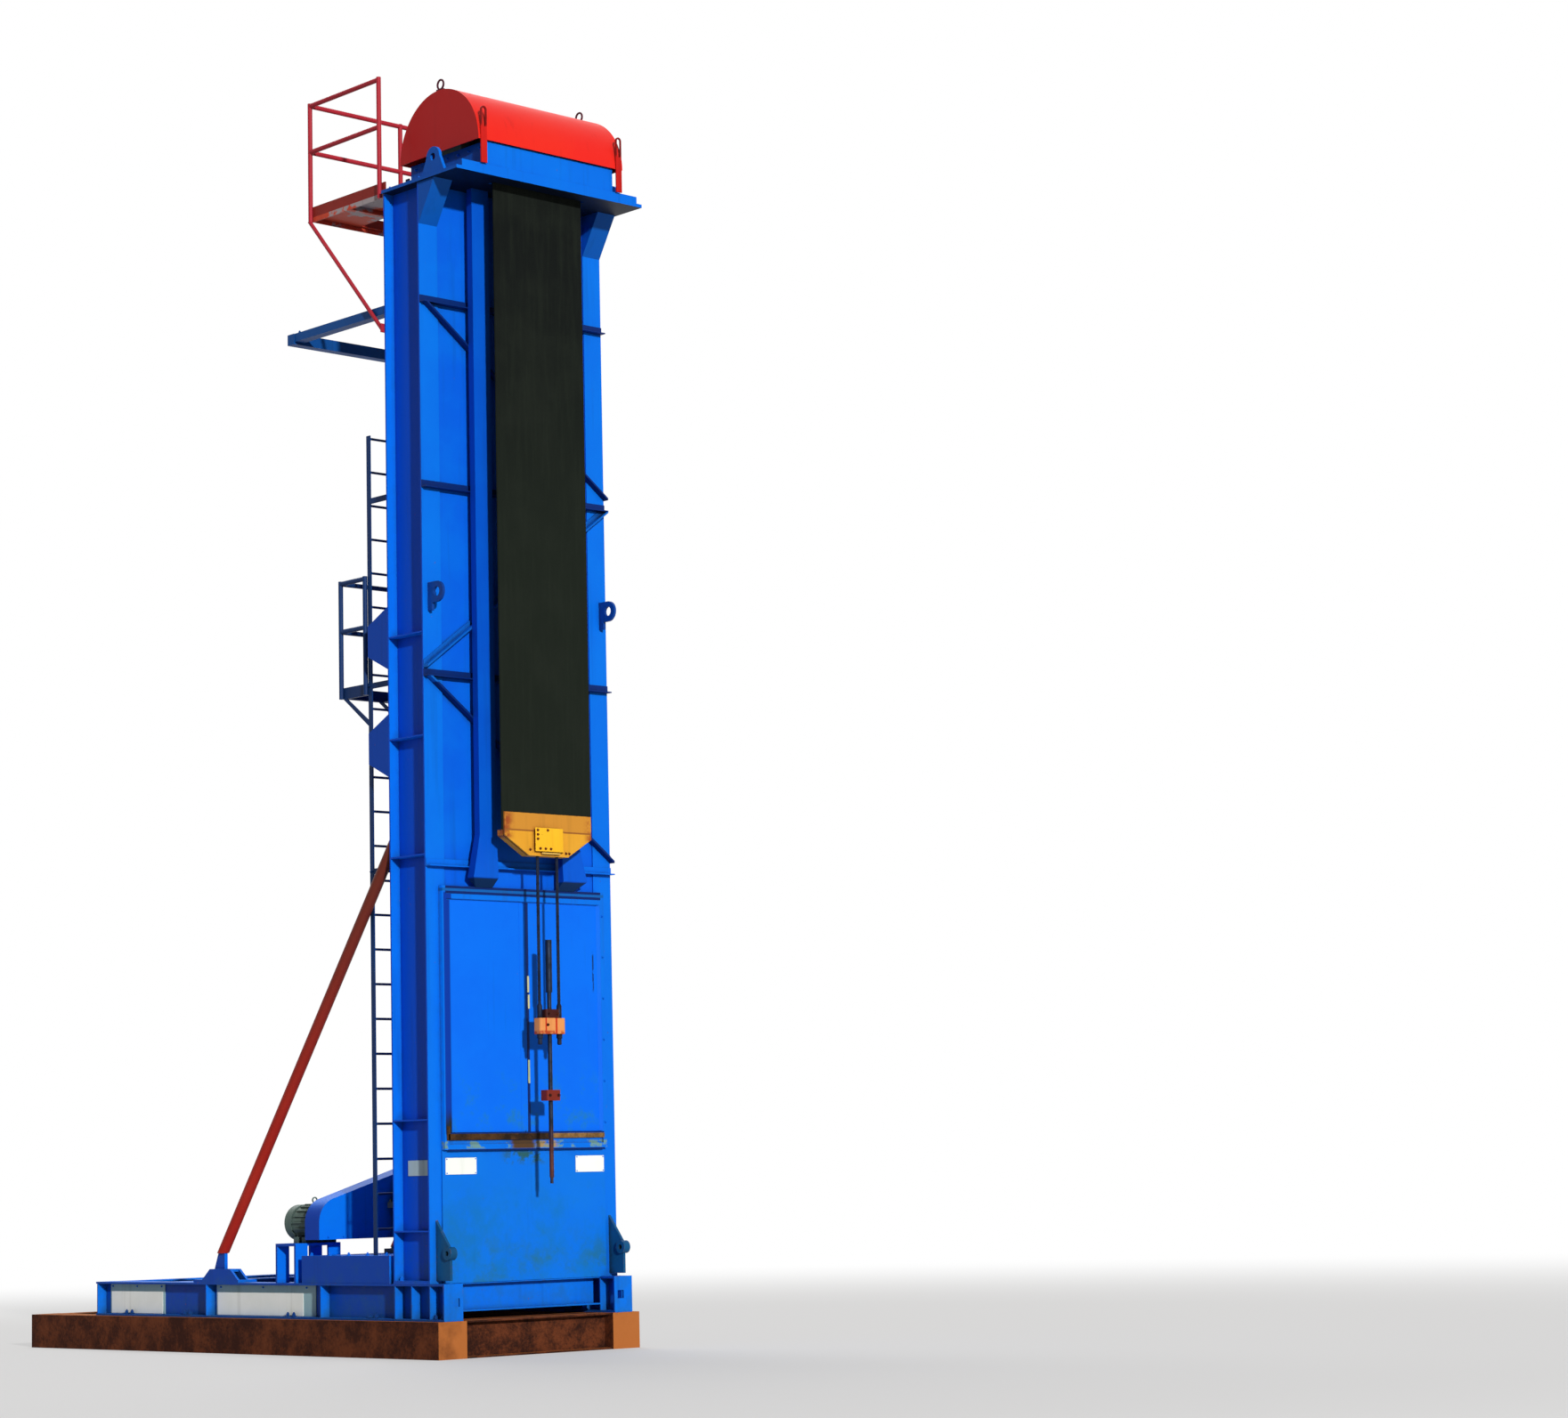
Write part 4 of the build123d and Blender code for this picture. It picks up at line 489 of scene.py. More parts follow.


# Columns: four welded wide-flange posts in two pairs, with their webs on the tower's sides. They
# stand on foot plates bolted to the skid, and carry hinge plates, lugs and brackets.

# The columns' sideways faces are painted darker blue as shade.
finish_node(blue_enamel("column_blue", chips=0.3, grime=0.5, splash=1.6, sides=BLUE_SHADED_SIDES),
            "columns")
finish_node(skid_blue, "rear_brackets")
finish_node(enamel("lug_navy", (10, 58, 138), (14, 84, 176), (12, 30, 60), chips=0.4, grime=0.8),
            "side_lugs")
finish_node(enamel("hinge_green", (14, 72, 112), (20, 96, 150), (16, 36, 44), chips=0.5,
                   grime=0.9), "hinge_plates")
FOOT_BOLT_X, FOOT_BOLT_Y, FOOT_TOP, FOOT_PITCH, FOOT_HEAD = 0.87, 0.20, 0.645, 0.11, 0.018
bolts("foot_bolts", "blue_paint", bolt_blue, [
    ((side * FOOT_BOLT_X, y, FOOT_TOP), (side * FOOT_PITCH, 0, 0), 2, UP)
    for side in (-1, 1) for y in (-FOOT_BOLT_Y, FOOT_BOLT_Y)], head=FOOT_HEAD)
plate_grey = enamel("plate_grey", (172, 194, 202), (184, 202, 208), (84, 98, 104), chips=0.2,
                    grime=0.5, splash=0.2)
PLATE_PLACE, PLATE_SIZE = (-0.937, 0.0, 1.585), (0.006, 0.30, 0.13)
solid("column_board", "blue_paint", plate_grey, board(PLATE_PLACE, PLATE_SIZE, bevel=0.002))


# Bracing: angle struts and diagonals welded across the front and the rear, with a sheet behind
# the front ones and the folded guide rails before them. The front ones are painted navy as shade,
# with lighter stretches painted as lit.

finish_node(enamel("brace_blue", BLUE, BLUE_FADED, (6, 34, 66), chips=0.32, grime=0.8),
            "rear_struts", "rear_diagonals")
finish_node(enamel("sheet_blue", (0, 94, 220), BLUE, BLUE_DIRT_AND_SHADE, chips=0.15, grime=0.55,
                   fading=0.7), "front_sheet")


def between_group():
    """A mask that is 1 between two planes, with soft borders."""
    tree, given, result = tree_of("between_planes", (
        ("Place", "Float"), ("Low", "Float"), ("High", "Float"), ("Soft", "Float")),
        (("Mask", "Float"),))
    place, soft = given["Place"], given["Soft"]
    borders = [ramp(tree, place, math_node(tree, outer, given[plane], soft),
                    math_node(tree, inner, given[plane], soft))
               for plane, outer, inner in (("Low", "SUBTRACT", "ADD"), ("High", "ADD", "SUBTRACT"))]
    tree.links.new(times(tree, *borders), result["Mask"])
    return tree


BETWEEN = between_group()


def band(axis, low, high, soft):
    """A mask that is 1 between two planes across an axis."""
    def mask(tree, where):
        place = add(tree, "ShaderNodeSeparateXYZ", {0: where}).outputs[axis]
        return use(tree, BETWEEN, {"Place": place, "Low": low, "High": high, "Soft": soft})[0]
    return mask


# Lighter blue painted as lit on the rising diagonals and on the lowest struts.
lit_rise = [((6, 98, 196), band("Z", 5.70, 7.45, 0.005))]
lit_foot = [(BLUE, band("Z", 3.80, 4.30, 0.005))]
for node, label, stains in (("front_diagonals", "diagonal_shade_navy", lit_rise),
                            ("front_struts", "strut_shade_navy", lit_foot)):
    finish_node(enamel(label, (0, 36, 104), (2, 46, 120), (6, 24, 48), chips=0.3, grime=0.8,
                       stains=stains), node)
# The rails' turned-back feet are painted darker as shade, and their sideways faces too.
shaded_feet = [((4, 44, 86), band("Z", 3.90, 4.028, 0.006))]
finish_node(enamel("guide_blue", (0, 84, 204), (0, 98, 214), BLUE_DIRT_AND_SHADE, chips=0.15, grime=0.55,
                   sides=(0, 62, 172), stains=shaded_feet), "guide_rails")


# Doors: two flat leaves of folded sheet in a welded frame, over a fixed panel. A cover strip is
# welded to the left leaf. The sill is worn to rust. Two plain white plates are riveted below.

def patch_group():
    """Uneven patches with ragged edges."""
    tree, given, result = tree_of("ragged_patches", (
        ("Vector", "Vector"), ("Scale", "Float"), ("Low", "Float"), ("High", "Float")),
        (("Mask", "Float"),))
    ragged = noise(tree, given["Vector"], given["Scale"], 7.0, 0.7)
    tree.links.new(ramp(tree, ragged, given["Low"], given["High"]), result["Mask"])
    return tree


PATCHES = patch_group()


def patches(scale, low, high):
    """A mask of ragged patches. A lower bound makes more of them."""
    def mask(tree, where):
        return use(tree, PATCHES, {"Vector": where, "Scale": scale, "Low": low, "High": high})[0]
    return mask


DOOR_SHADE, DOOR_FOOT = (0, 54, 158), (26, 34, 36)
leaf_edge, frame_edge = band("X", -0.85, -0.800, 0.006), band("X", -0.884, -0.80, 0.006)
leaf_stains = [
    ((24, 116, 190), band("Z", 1.7, 2.3, 0.25), patches(3.4, 0.5, 0.66)),
    # Painted shade along the leaves' left edges.
    (DOOR_SHADE, leaf_edge),
    (DOOR_FOOT, leaf_edge, band("Z", 1.80, 2.02, 0.08)),
    ((8, 44, 92), band("X", 0.775, 0.79, 0.006), band("Z", 3.10, 3.42, 0.03),
     patches(16.0, 0.4, 0.5))]
panel_stains = [
    ((12, 112, 188), band("Z", 0.4, 1.35, 0.3), patches(2.6, 0.40, 0.70)),
    ((30, 108, 148), band("Z", 0.4, 0.95, 0.22), patches(4.1, 0.44, 0.70)),
    ((40, 92, 96), band("Z", 1.61, 1.72, 0.03), band("X", -0.22, 0.22, 0.08),
     patches(9.0, 0.46, 0.6))]
frame_stains = [
    # The frame's outer side face is painted lighter blue as lit.
    ((0, 132, 246), band("X", -0.90, -0.8935, 0.001)),
    ((12, 96, 176), band("Z", 3.914, 3.94, 0.006)),
    (DOOR_SHADE, frame_edge, band("Z", 1.86, 3.905, 0.01)),
    (DOOR_FOOT, band("X", -0.884, -0.80, 0.008), band("Z", 1.84, 2.00, 0.10)),
    ((108, 150, 150), band("Z", 1.74, 1.80, 0.008), patches(6.5, 0.5, 0.56)),
    ((84, 58, 34), band("Z", 1.735, 1.81, 0.006), band("X", -0.17, 0.08, 0.03)),
    ((168, 138, 92), band("Z", 1.742, 1.80, 0.008), band("X", 0.10, 0.32, 0.03),
     patches(9.0, 0.36, 0.5))]
door_blue = enamel("door_blue", (0, 106, 236), (0, 116, 242), BLUE_DIRT_AND_SHADE, chips=0.12, grime=0.3,
                   runs=0.36, splash=0.05, stains=leaf_stains)
finish_node(door_blue, "door_leaves")
finish_node(enamel("panel_blue", (2, 112, 226), (8, 120, 222), BLUE_DIRT_AND_SHADE, chips=0.2, grime=0.7,
                   runs=0.36, splash=0.35, stains=panel_stains), "lower_panel")
finish_node(enamel("door_frame_blue", BLUE, BLUE_FADED, (40, 46, 44), chips=0.3, grime=0.8,
                   stains=frame_stains), "door_frame")

DOOR_FRONT, FRAME_FRONT = -0.28, -0.305
LEAF_MIDDLE, LEAF_HIGH, SEAM_X = 2.86, 1.95, 0.039
solid("door_cover_strip", "blue_paint", door_blue, board(
    (-0.010, DOOR_FRONT - 0.001, LEAF_MIDDLE), (0.070, 0.002, LEAF_HIGH), bevel=0.0006))
# Dark blue strips: stops behind the gaps round the leaves, the joint by the cover strip, and lines
# across the frame at the header and sill. Their dark is partly the joints' own colour and partly
# painted shade: the shade in the gaps, the left rope's shadow on the joint, and the shade lines
# under the header.
seam_and_shade_dark = enamel("seam_and_shade_dark", (2, 32, 96), (4, 42, 112), (20, 26, 30), chips=0.1)
solid("door_seams_and_shade_lines", "blue_paint", seam_and_shade_dark,
      *[board((0.0, -0.247, z), (1.652, 0.005, 0.05)) for z in (1.877, 3.847)],
      *[board((x, -0.2545, LEAF_MIDDLE), (0.010, 0.009, LEAF_HIGH)) for x in (-0.8447, 0.8447)],
      board((SEAM_X, DOOR_FRONT - 0.001, LEAF_MIDDLE), (0.028, 0.003, LEAF_HIGH + 0.015)),
      *[board((-0.002, FRAME_FRONT - 0.001, z), (1.72, 0.004, high)) for z, high in (
          (3.949, 0.020), (3.9045, 0.021), (1.728, 0.010), (1.868, 0.009))])

OPENING_X, OPENING_LOW, OPENING_TOP = 0.852, 1.87, 3.893
STEP_LEFT, STEP_RIGHT, STEP_LOW, STEP_TOP, SHEET = -0.846, 0.826, 1.88, 3.84, 0.0008


def flashing(shape):
    """A thin sloping sheet over the step above the leaves and the one to their right."""
    near, far = FRAME_FRONT - 0.001, DOOR_FRONT - 0.0004
    top_right, step_right = (OPENING_X, near, OPENING_TOP), (STEP_RIGHT, far, STEP_TOP)
    for corners in (
            ((-OPENING_X, near, OPENING_TOP), top_right, step_right, (STEP_LEFT, far, STEP_TOP)),
            (top_right, (OPENING_X, near, OPENING_LOW), (STEP_RIGHT, far, STEP_LOW), step_right)):
        front = [shape.verts.new(point) for point in corners]
        back = [shape.verts.new((x, y + SHEET, z)) for x, y, z in corners]
        shape.faces.new(front)
        shape.faces.new(back[::-1])
        for i in range(4):
            shape.faces.new((front[i - 1], front[i], back[i], back[i - 1]))


flashing_blue = enamel("flashing_blue", (0, 106, 232), BLUE_FADED, BLUE_DIRT_AND_SHADE, chips=0.0,
                       grime=0.2, edge=0.0004, splash=0.05)
solid("door_flashing", "blue_paint", flashing_blue, flashing)
worn_beige = enamel("worn_beige", (150, 172, 140), (206, 200, 148), (50, 70, 74), fading=1.0,
                    chips=0.15)
solid("cover_strip_wear", "blue_paint", worn_beige, *[
    board((x, DOOR_FRONT - 0.0035, (low + high) / 2), (0.020, 0.002, high - low), bevel=0.0005)
    for x, low, high in ((0.050, 2.93, 3.05), (0.046, 3.07, 3.21), (0.043, 2.29, 2.49))])
sill_rust = rusted_steel("sill_rust", (34, 24, 16), (80, 52, 26), (130, 98, 62), 9.0)
sill_tan = rusted_steel("sill_tan", (104, 76, 42), (156, 116, 68), (170, 136, 92), 7.0)
SILL_Y, SILL_THICK = FRAME_FRONT - 0.002, 0.005
for name, material, parts in (
        ("sill_wear", sill_rust, ((-0.295, 1.836, 1.13, 0.052), (-0.858, 1.868, 0.034, 0.12))),
        ("sill_bare", sill_tan, ((0.565, 1.840, 0.59, 0.040),))):
    solid(name, "blue_paint", material, *[
        board((x, SILL_Y, z), (wide, SILL_THICK, high), bevel=0.001) for x, z, wide, high in parts])

PANEL_PLATE_Y, PANEL_PLATE_Z, RIVET_Y = -0.265, 1.594, -0.268
for label, middle, width in (("left", -0.697, 0.33), ("right", 0.722, 0.32)):
    solid(f"panel_plate_{label}", "blue_paint", white_paint, board(
        (middle, PANEL_PLATE_Y, PANEL_PLATE_Z), (width, 0.006, 0.14), bevel=0.002))
bolts("plate_rivets", "blue_paint", bolt_blue, [
    ((x, RIVET_Y, z), (step, 0, 0), 2, FRONT)
    for x, step in ((-0.85, 0.306), (0.574, 0.296)) for z in (1.535, 1.653)], head=0.004)
FRAME_BOLT_X, FRAME_BOLT_LOW, FRAME_BOLT_PITCH = 0.873, 1.95, 0.36
bolts("door_frame_bolts", "blue_paint", bolt_blue, [
    ((FRAME_BOLT_X, FRAME_FRONT, FRAME_BOLT_LOW), (0, 0, FRAME_BOLT_PITCH), 6, FRONT)],
    head=0.008)


# Deck: a thick plate with a lip around it, on tapered consoles at the front corners. The box of
# the belt housing stands on it, and the lifting eyes at its ends take the crane's shackles.

def underside(tree, where):
    """A mask of what faces down."""
    return ramp(tree, use(tree, FACING)["Up"], -0.3, -0.8)


# The deck's sideways faces are painted darker blue as shade, and what faces down near-black blue as
# shade.
finish_node(blue_enamel("deck_blue", chips=0.35, grime=0.6, sides=(0, 80, 176),
                        stains=[((2, 16, 40), underside)]),
            "deck_plate", "deck_consoles", "lifting_eyes", "housing_long_walls",
            "housing_end_walls")
HOUSING_X, HOUSING_BOLT_Y, HOUSING_BOLT_Z, HOUSING_PITCH = 0.72, -0.73, 10.335, 0.15
bolts("housing_bolts", "blue_paint", bolt_blue, [
    ((side * HOUSING_X, HOUSING_BOLT_Y, HOUSING_BOLT_Z), (0, HOUSING_PITCH, 0), 7, (side, 0, 0))
    for side in (-1, 1)], head=0.009)
DECK_BOLT_X, DECK_TOP, DECK_PITCH = 0.86, 10.11, 0.13
bolts("deck_bolts", "blue_paint", bolt_blue, [
    ((side * DECK_BOLT_X, y, DECK_TOP), (side * DECK_PITCH, 0, 0), 2, UP)
    for side in (-1, 1) for y in (-0.22, 0.20)], head=0.016)


# Drum: a fabricated roller on a through shaft in two plummer blocks, in grey machine paint. The
# belt has polished its face.

machine_grey = enamel("machine_grey", (104, 116, 112), (128, 138, 132), (46, 44, 38), chips=0.4,
                      grime=0.8)
finish_node(machine_grey, "drum", "drum_bearings")


# Hood: a half-round cover of rolled sheet over the drum, in red, with handling rings on its crown
# and a latch at each corner that hooks on the housing.

RED = (236, 38, 30)
# The hood's sideways faces, its end caps, are painted darker red as shade.
finish_node(enamel("hood_red", RED, (238, 44, 30), (96, 18, 14), chips=0.24, grime=0.5, runs=0.4,
                   fading=0.8, gloss=0.42, sides=(180, 26, 26)), "hood")
finish_node(enamel("latch_red", (196, 26, 22), RED, (80, 16, 14), chips=0.4,
                   stains=[((128, 20, 20), band("Z", 10.50, 11.0, 0.02))]), "hood_latches")
finish_node(enamel("ring_maroon", (70, 22, 40), (96, 30, 44), (30, 18, 30), chips=0.5),
            "hood_rings")


# Belt: one wide endless-ply strip over the drum, black-green rubber, matt, with a fine fabric
# print and faint scuffs along its run.

RUBBER_SHEEN, RUBBER_ROUGH, RUBBER_RELIEF = 0.1, 0.85, 0.001


def belt_rubber(name):
    """Black-green rubber with faint long scuffs and a fabric print."""
    material, tree, shader, where = new_material(name, RUBBER_SHEEN)
    shader.inputs["Roughness"].default_value = RUBBER_ROUGH
    long = add(tree, "ShaderNodeVectorMath", {0: where, 1: (1.0, 1.0, 0.08)},
               operation="MULTIPLY").outputs[0]
    scuffs = ramp(tree, noise(tree, long, 22.0, 6.0, 0.65), 0.42, 0.78)
    clouds = ramp(tree, noise(tree, where, 2.2, 6.0, 0.6), 0.4, 0.7)
    height = add(tree, "ShaderNodeSeparateXYZ", {0: where}).outputs["Z"]
    rubber = blend_colour(tree, ramp(tree, height, 9.6, 6.5), colour((12, 16, 14)),
                          colour((23, 29, 22)))
    for mask, strength, over in ((scuffs, 0.5, (31, 37, 29)), (clouds, 0.35, (32, 37, 30))):
        rubber = blend_colour(tree, times(tree, mask, strength), rubber, colour(over))
    tree.links.new(rubber, shader.inputs["Base Color"])
    weave = add(tree, "ShaderNodeTexWave", {"Vector": where, "Scale": 42.0, "Distortion": 0.6},
                bands_direction="Z").outputs["Fac"]
    bump(tree, shader, math_node(tree, "ADD", times(tree, weave, 0.35),
                                 noise(tree, where, 60.0, 4.0)), RUBBER_RELIEF)
    return material


finish_node(belt_rubber("belt_rubber"), "load_belt")


# Clamp: two plates cut to a shield and bolted through the belt's end, in ochre paint, with the
# bright yellow block that takes the two hanger ropes.

def clamp_ends(tree, where):
    """A mask of the clamp's two ends, where hands and hooks have worn it."""
    return math_node(tree, "SUBTRACT", 1.0, band("X", -0.40, 0.43, 0.05)(tree, where))


clamp_stains = [
    ((206, 140, 50), band("Z", 4.43, 4.7, 0.004)),
    ((156, 74, 34), band("Z", 4.36, 4.7, 0.02), clamp_ends, patches(8.0, 0.38, 0.6)),
    ((150, 92, 40), band("Z", 4.422, 4.436, 0.004))]
finish_node(enamel("clamp_ochre", (226, 158, 44), (232, 170, 54), (96, 56, 24), chips=0.5,
                   grime=0.8, gloss=0.55, splash=0.05, stains=clamp_stains), "belt_clamp")
head_yellow = enamel("head_yellow", (250, 188, 38), (255, 196, 52), (150, 84, 26), chips=0.35,
                     grime=0.5, splash=0.05)
lip_yellow = enamel("lip_yellow", (214, 172, 84), (228, 190, 104), (110, 70, 30), chips=0.3)
bolt_brown = enamel("bolt_brown", (112, 56, 28), (150, 78, 34), (50, 26, 16), chips=0.6,
                    grime=0.8, edge=0.004)
CLAMP_FRONT, HEAD_FRONT, COVER_THICK = -0.645, -0.675, 0.005
solid("clamp_head_cover", "yellow_paint", head_yellow, board(
    (-0.018, HEAD_FRONT - 0.0015, 4.354), (0.306, COVER_THICK, 0.203), bevel=0.002))
solid("clamp_lip", "yellow_paint", lip_yellow, board(
    (0.01, HEAD_FRONT + 0.012, 4.238), (0.20, 0.02, 0.016), bevel=0.003))
COVER_FRONT = HEAD_FRONT - 0.004
bolts("clamp_bolts", "yellow_paint", bolt_brown, [
    ((-0.146, COVER_FRONT, 4.358), (0, 0, 0.038), 3, FRONT),
    ((-0.035, COVER_FRONT, 4.436), (0.05, 0, 0), 1, FRONT),
    ((-0.120, COVER_FRONT, 4.276), (0.058, 0, 0), 3, FRONT),
    ((-0.205, CLAMP_FRONT, 4.266), (0.05, 0, 0), 1, FRONT),
    ((0.192, CLAMP_FRONT, 4.247), (0.036, 0, 0), 2, FRONT)], head=0.0085)


# Hanger ropes, carrier and rod: two steel ropes with pressed ferrules hold a yellow bar. The
# polished rod hangs from it by red clamps, and is brown with old oil, with a liner at its top.
# Ropes and rod are dark steel whose navy tint is a painted reflection.

def rope_tree():
    """Geometry Nodes: strands laid round each other into one wire rope that starts at Z = 0."""
    tree, given, result = tree_of("rope_lay", (
        ("Strands", "Int", 6), ("Lay", "Float", 0.18), ("Length", "Float", 1.0),
        ("Centre Radius", "Float", 0.0093), ("Strand Radius", "Float", 0.0047),
        ("Finish", "Material")), (("Rope", "Geometry"),), "GeometryNodeTree")
    helix = add(tree, "GeometryNodeCurveSpiral", {
        "Resolution": 14, "Rotations": math_node(tree, "DIVIDE", given["Length"], given["Lay"]),
        "Start Radius": given["Centre Radius"], "End Radius": given["Centre Radius"],
        "Height": given["Length"]})
    section = add(tree, "GeometryNodeCurvePrimitiveCircle", {
        "Resolution": 8, "Radius": given["Strand Radius"]}, mode="RADIUS")
    strand = add(tree, "GeometryNodeCurveToMesh", {
        "Curve": helix.outputs[0], "Profile Curve": section.outputs[0], "Fill Caps": True})
    points = add(tree, "GeometryNodeMeshLine", {"Count": given["Strands"],
                                                "Offset": (0.0, 0.0, 0.0)})
    share = math_node(tree, "DIVIDE", 2 * math.pi, given["Strands"])
    turn = add(tree, "ShaderNodeCombineXYZ", {
        "Z": times(tree, add(tree, "GeometryNodeInputIndex").outputs[0], share)}).outputs[0]
    lay_out(tree, points, strand, turn, given["Finish"], result["Rope"])
    return tree


def oil_group():
    """A mask of a thin film of oil in clouds, and the relief of the steel under it."""
    tree, given, result = tree_of("oil_film", (("Vector", "Vector"),),
                                  (("Mask", "Float"), ("Height", "Float")))
    clouds = noise(tree, given["Vector"], 9.0, 6.0, 0.7)
    tree.links.new(ramp(tree, clouds, 0.35, 0.7), result["Mask"])
    tree.links.new(noise(tree, given["Vector"], 120.0, 3.0), result["Height"])
    return tree


ROPE_LAY = rope_tree()
OIL_FILM = oil_group()
STEEL_SHEEN, STEEL_METALLIC, STEEL_RELIEF = 0.3, 0.35, 0.0004


def worn_steel(name, bare, oiled, rough, stains=()):
    """Handled steel under a thin dark film of oil."""
    material, tree, shader, where = new_material(name, STEEL_SHEEN)
    shader.inputs["Metallic"].default_value = STEEL_METALLIC
    film = use(tree, OIL_FILM, {"Vector": where})
    steel = blend_colour(tree, film["Mask"], colour(bare), colour(oiled))
    tree.links.new(overlaid(tree, where, steel, stains), shader.inputs["Base Color"])
    tree.links.new(ramp(tree, film["Mask"], 0.0, 1.0, rough, rough + 0.3),
                   shader.inputs["Roughness"])
    bump(tree, shader, film["Height"], STEEL_RELIEF)
    return material


def strands(start, length, finish):
    """One rope that goes up from a point."""
    def make(shape):
        gather(shape, ROPE_LAY, {"Length": length, "Finish": finish}, Matrix.Translation(start))
    return make


def turned(start, along, profile, sides=20, ring=False):
    """A turned part: circles of a radius at a distance along an axis, closed, or as a ring."""
    def make(shape):
        turn = Vector(UP).rotation_difference(Vector(along)).to_matrix()
        circles = [[shape.verts.new(Vector(start) + turn @ Vector((
            radius * math.cos(2 * math.pi * i / sides), radius * math.sin(2 * math.pi * i / sides),
            distance))) for i in range(sides)] for radius, distance in profile]
        pairs = list(zip(circles, circles[1:])) + ([(circles[-1], circles[0])] if ring else [])
        for low, high in pairs:
            for i in range(sides):
                shape.faces.new((low[i - 1], low[i], high[i], high[i - 1]))
        if not ring:
            shape.faces.new(circles[0])
            shape.faces.new(circles[-1])
    return make


ROPE_X, ROPE_Y, CARRIER_LOW, CARRIER_TOP, CLAMP_LOW, SOCKET_LOW = (
    0.107, -0.62, 2.695, 2.83, 4.215, 2.605)
FERRULE = ((0.019, 0.0), (0.022, 0.006), (0.022, 0.104), (0.016, 0.12))
SOCKET = ((0.015, 0.0), (0.019, 0.006), (0.019, 0.052), (0.026, 0.056), (0.026, 0.09))
# Dark rope steel with a navy tint: the navy is a painted reflection.
rope_steel = worn_steel("rope_steel", (14, 28, 54), (8, 16, 36), 0.5)
solid("wire_ropes", "bright_steel", rope_steel, *[
    maker for x in (-ROPE_X, ROPE_X) for maker in (
        strands((x, ROPE_Y, CARRIER_LOW), CLAMP_LOW - CARRIER_LOW, rope_steel),
        turned((x, ROPE_Y, CARRIER_TOP), UP, FERRULE),
        turned((x, ROPE_Y, SOCKET_LOW), UP, SOCKET, sides=12))], replaced=("hanger_ropes",))
rod_rust = [((78, 36, 28), band("Z", 1.3, 1.84, 0.12), patches(7.0, 0.34, 0.56))]
# Dark rod steel with a navy tint: the navy is a painted reflection.
finish_node(worn_steel("rod_steel", (14, 30, 56), (10, 20, 34), 0.4, rod_rust), "polished_rod")

carrier_marks = [((196, 46, 24), band("X", middle - half, middle + half, 0.004))
                 for middle, half in ((-0.078, 0.008), (0.036, 0.010))]
carrier_foot = ((176, 70, 34), band("Z", 2.6, 2.722, 0.01), patches(12.0, 0.4, 0.55))
finish_node(enamel("carrier_orange", (228, 144, 78), (238, 168, 104), (120, 48, 26), chips=0.45,
                   grime=0.8, splash=0.05, stains=[*carrier_marks, carrier_foot]), "carrier_bar")
finish_node(enamel("rod_clamp_red", (112, 36, 26), (136, 46, 32), (44, 20, 16), chips=0.45,
                   grime=0.9, splash=0.05, stains=[((62, 20, 14), band("Z", 2.8, 3.0, 0.01))]),
            "rod_clamps")
clamp_nut = enamel("clamp_nut", (56, 22, 16), (84, 34, 22), (26, 16, 12), chips=0.5, edge=0.004)
ROD_CLAMP_X, ROD_CLAMP_FRONT = 0.047, -0.67
bolts("rod_clamp_bolts", "red_paint", clamp_nut, [
    ((-ROD_CLAMP_X, ROD_CLAMP_FRONT, z), (2 * ROD_CLAMP_X, 0, 0), 2, FRONT)
    for z in (2.175, 2.8675)], head=0.010)
bolts("carrier_pin", "yellow_paint", clamp_nut, [
    ((-0.060, ROD_CLAMP_FRONT, 2.772), (0.1, 0, 0), 1, FRONT)], head=0.009)


# Counterweight: a stack of cast and plate steel in a welded box inside the tower, in grey paint,
# hung from the rear end of the belt.

finish_node(machine_grey, "counterweight")
cast_grey = enamel("cast_grey", (74, 82, 82), (92, 100, 98), (38, 36, 32), chips=0.4, grime=0.8)
SLAB_Y, SLAB_Z, BAY_PITCH, SLAB_PITCH, SLAB_SIZE = (
    0.197, 7.3517, 0.6333, 0.1433, (1.10, 0.016, 0.132))
solid("counterweight_slabs", "grey_paint", cast_grey, *[
    board((0.0, SLAB_Y, SLAB_Z + bay * BAY_PITCH + i * SLAB_PITCH), SLAB_SIZE, bevel=0.004)
    for bay in range(3) for i in range(4)])
WEIGHT_BOLT_X, WEIGHT_REAR, WEIGHT_BOLT_LOW, WEIGHT_PITCH = 0.61, 0.217, 7.35, 0.2
bolts("counterweight_bolts", "grey_paint", cast_grey, [
    ((side * WEIGHT_BOLT_X, WEIGHT_REAR, WEIGHT_BOLT_LOW), (0, 0, WEIGHT_PITCH), 9, REAR)
    for side in (-1, 1)], head=0.014)


# Ladders, landing and rear frame: angle stiles with round rungs, bolted to the rear flanges on
# brackets, in a dark navy. The landing has a plate floor, a toe board and a pipe rail.

LUG_SIZE, TREAD_PITCH = (0.030, 0.007, 0.004), 0.042


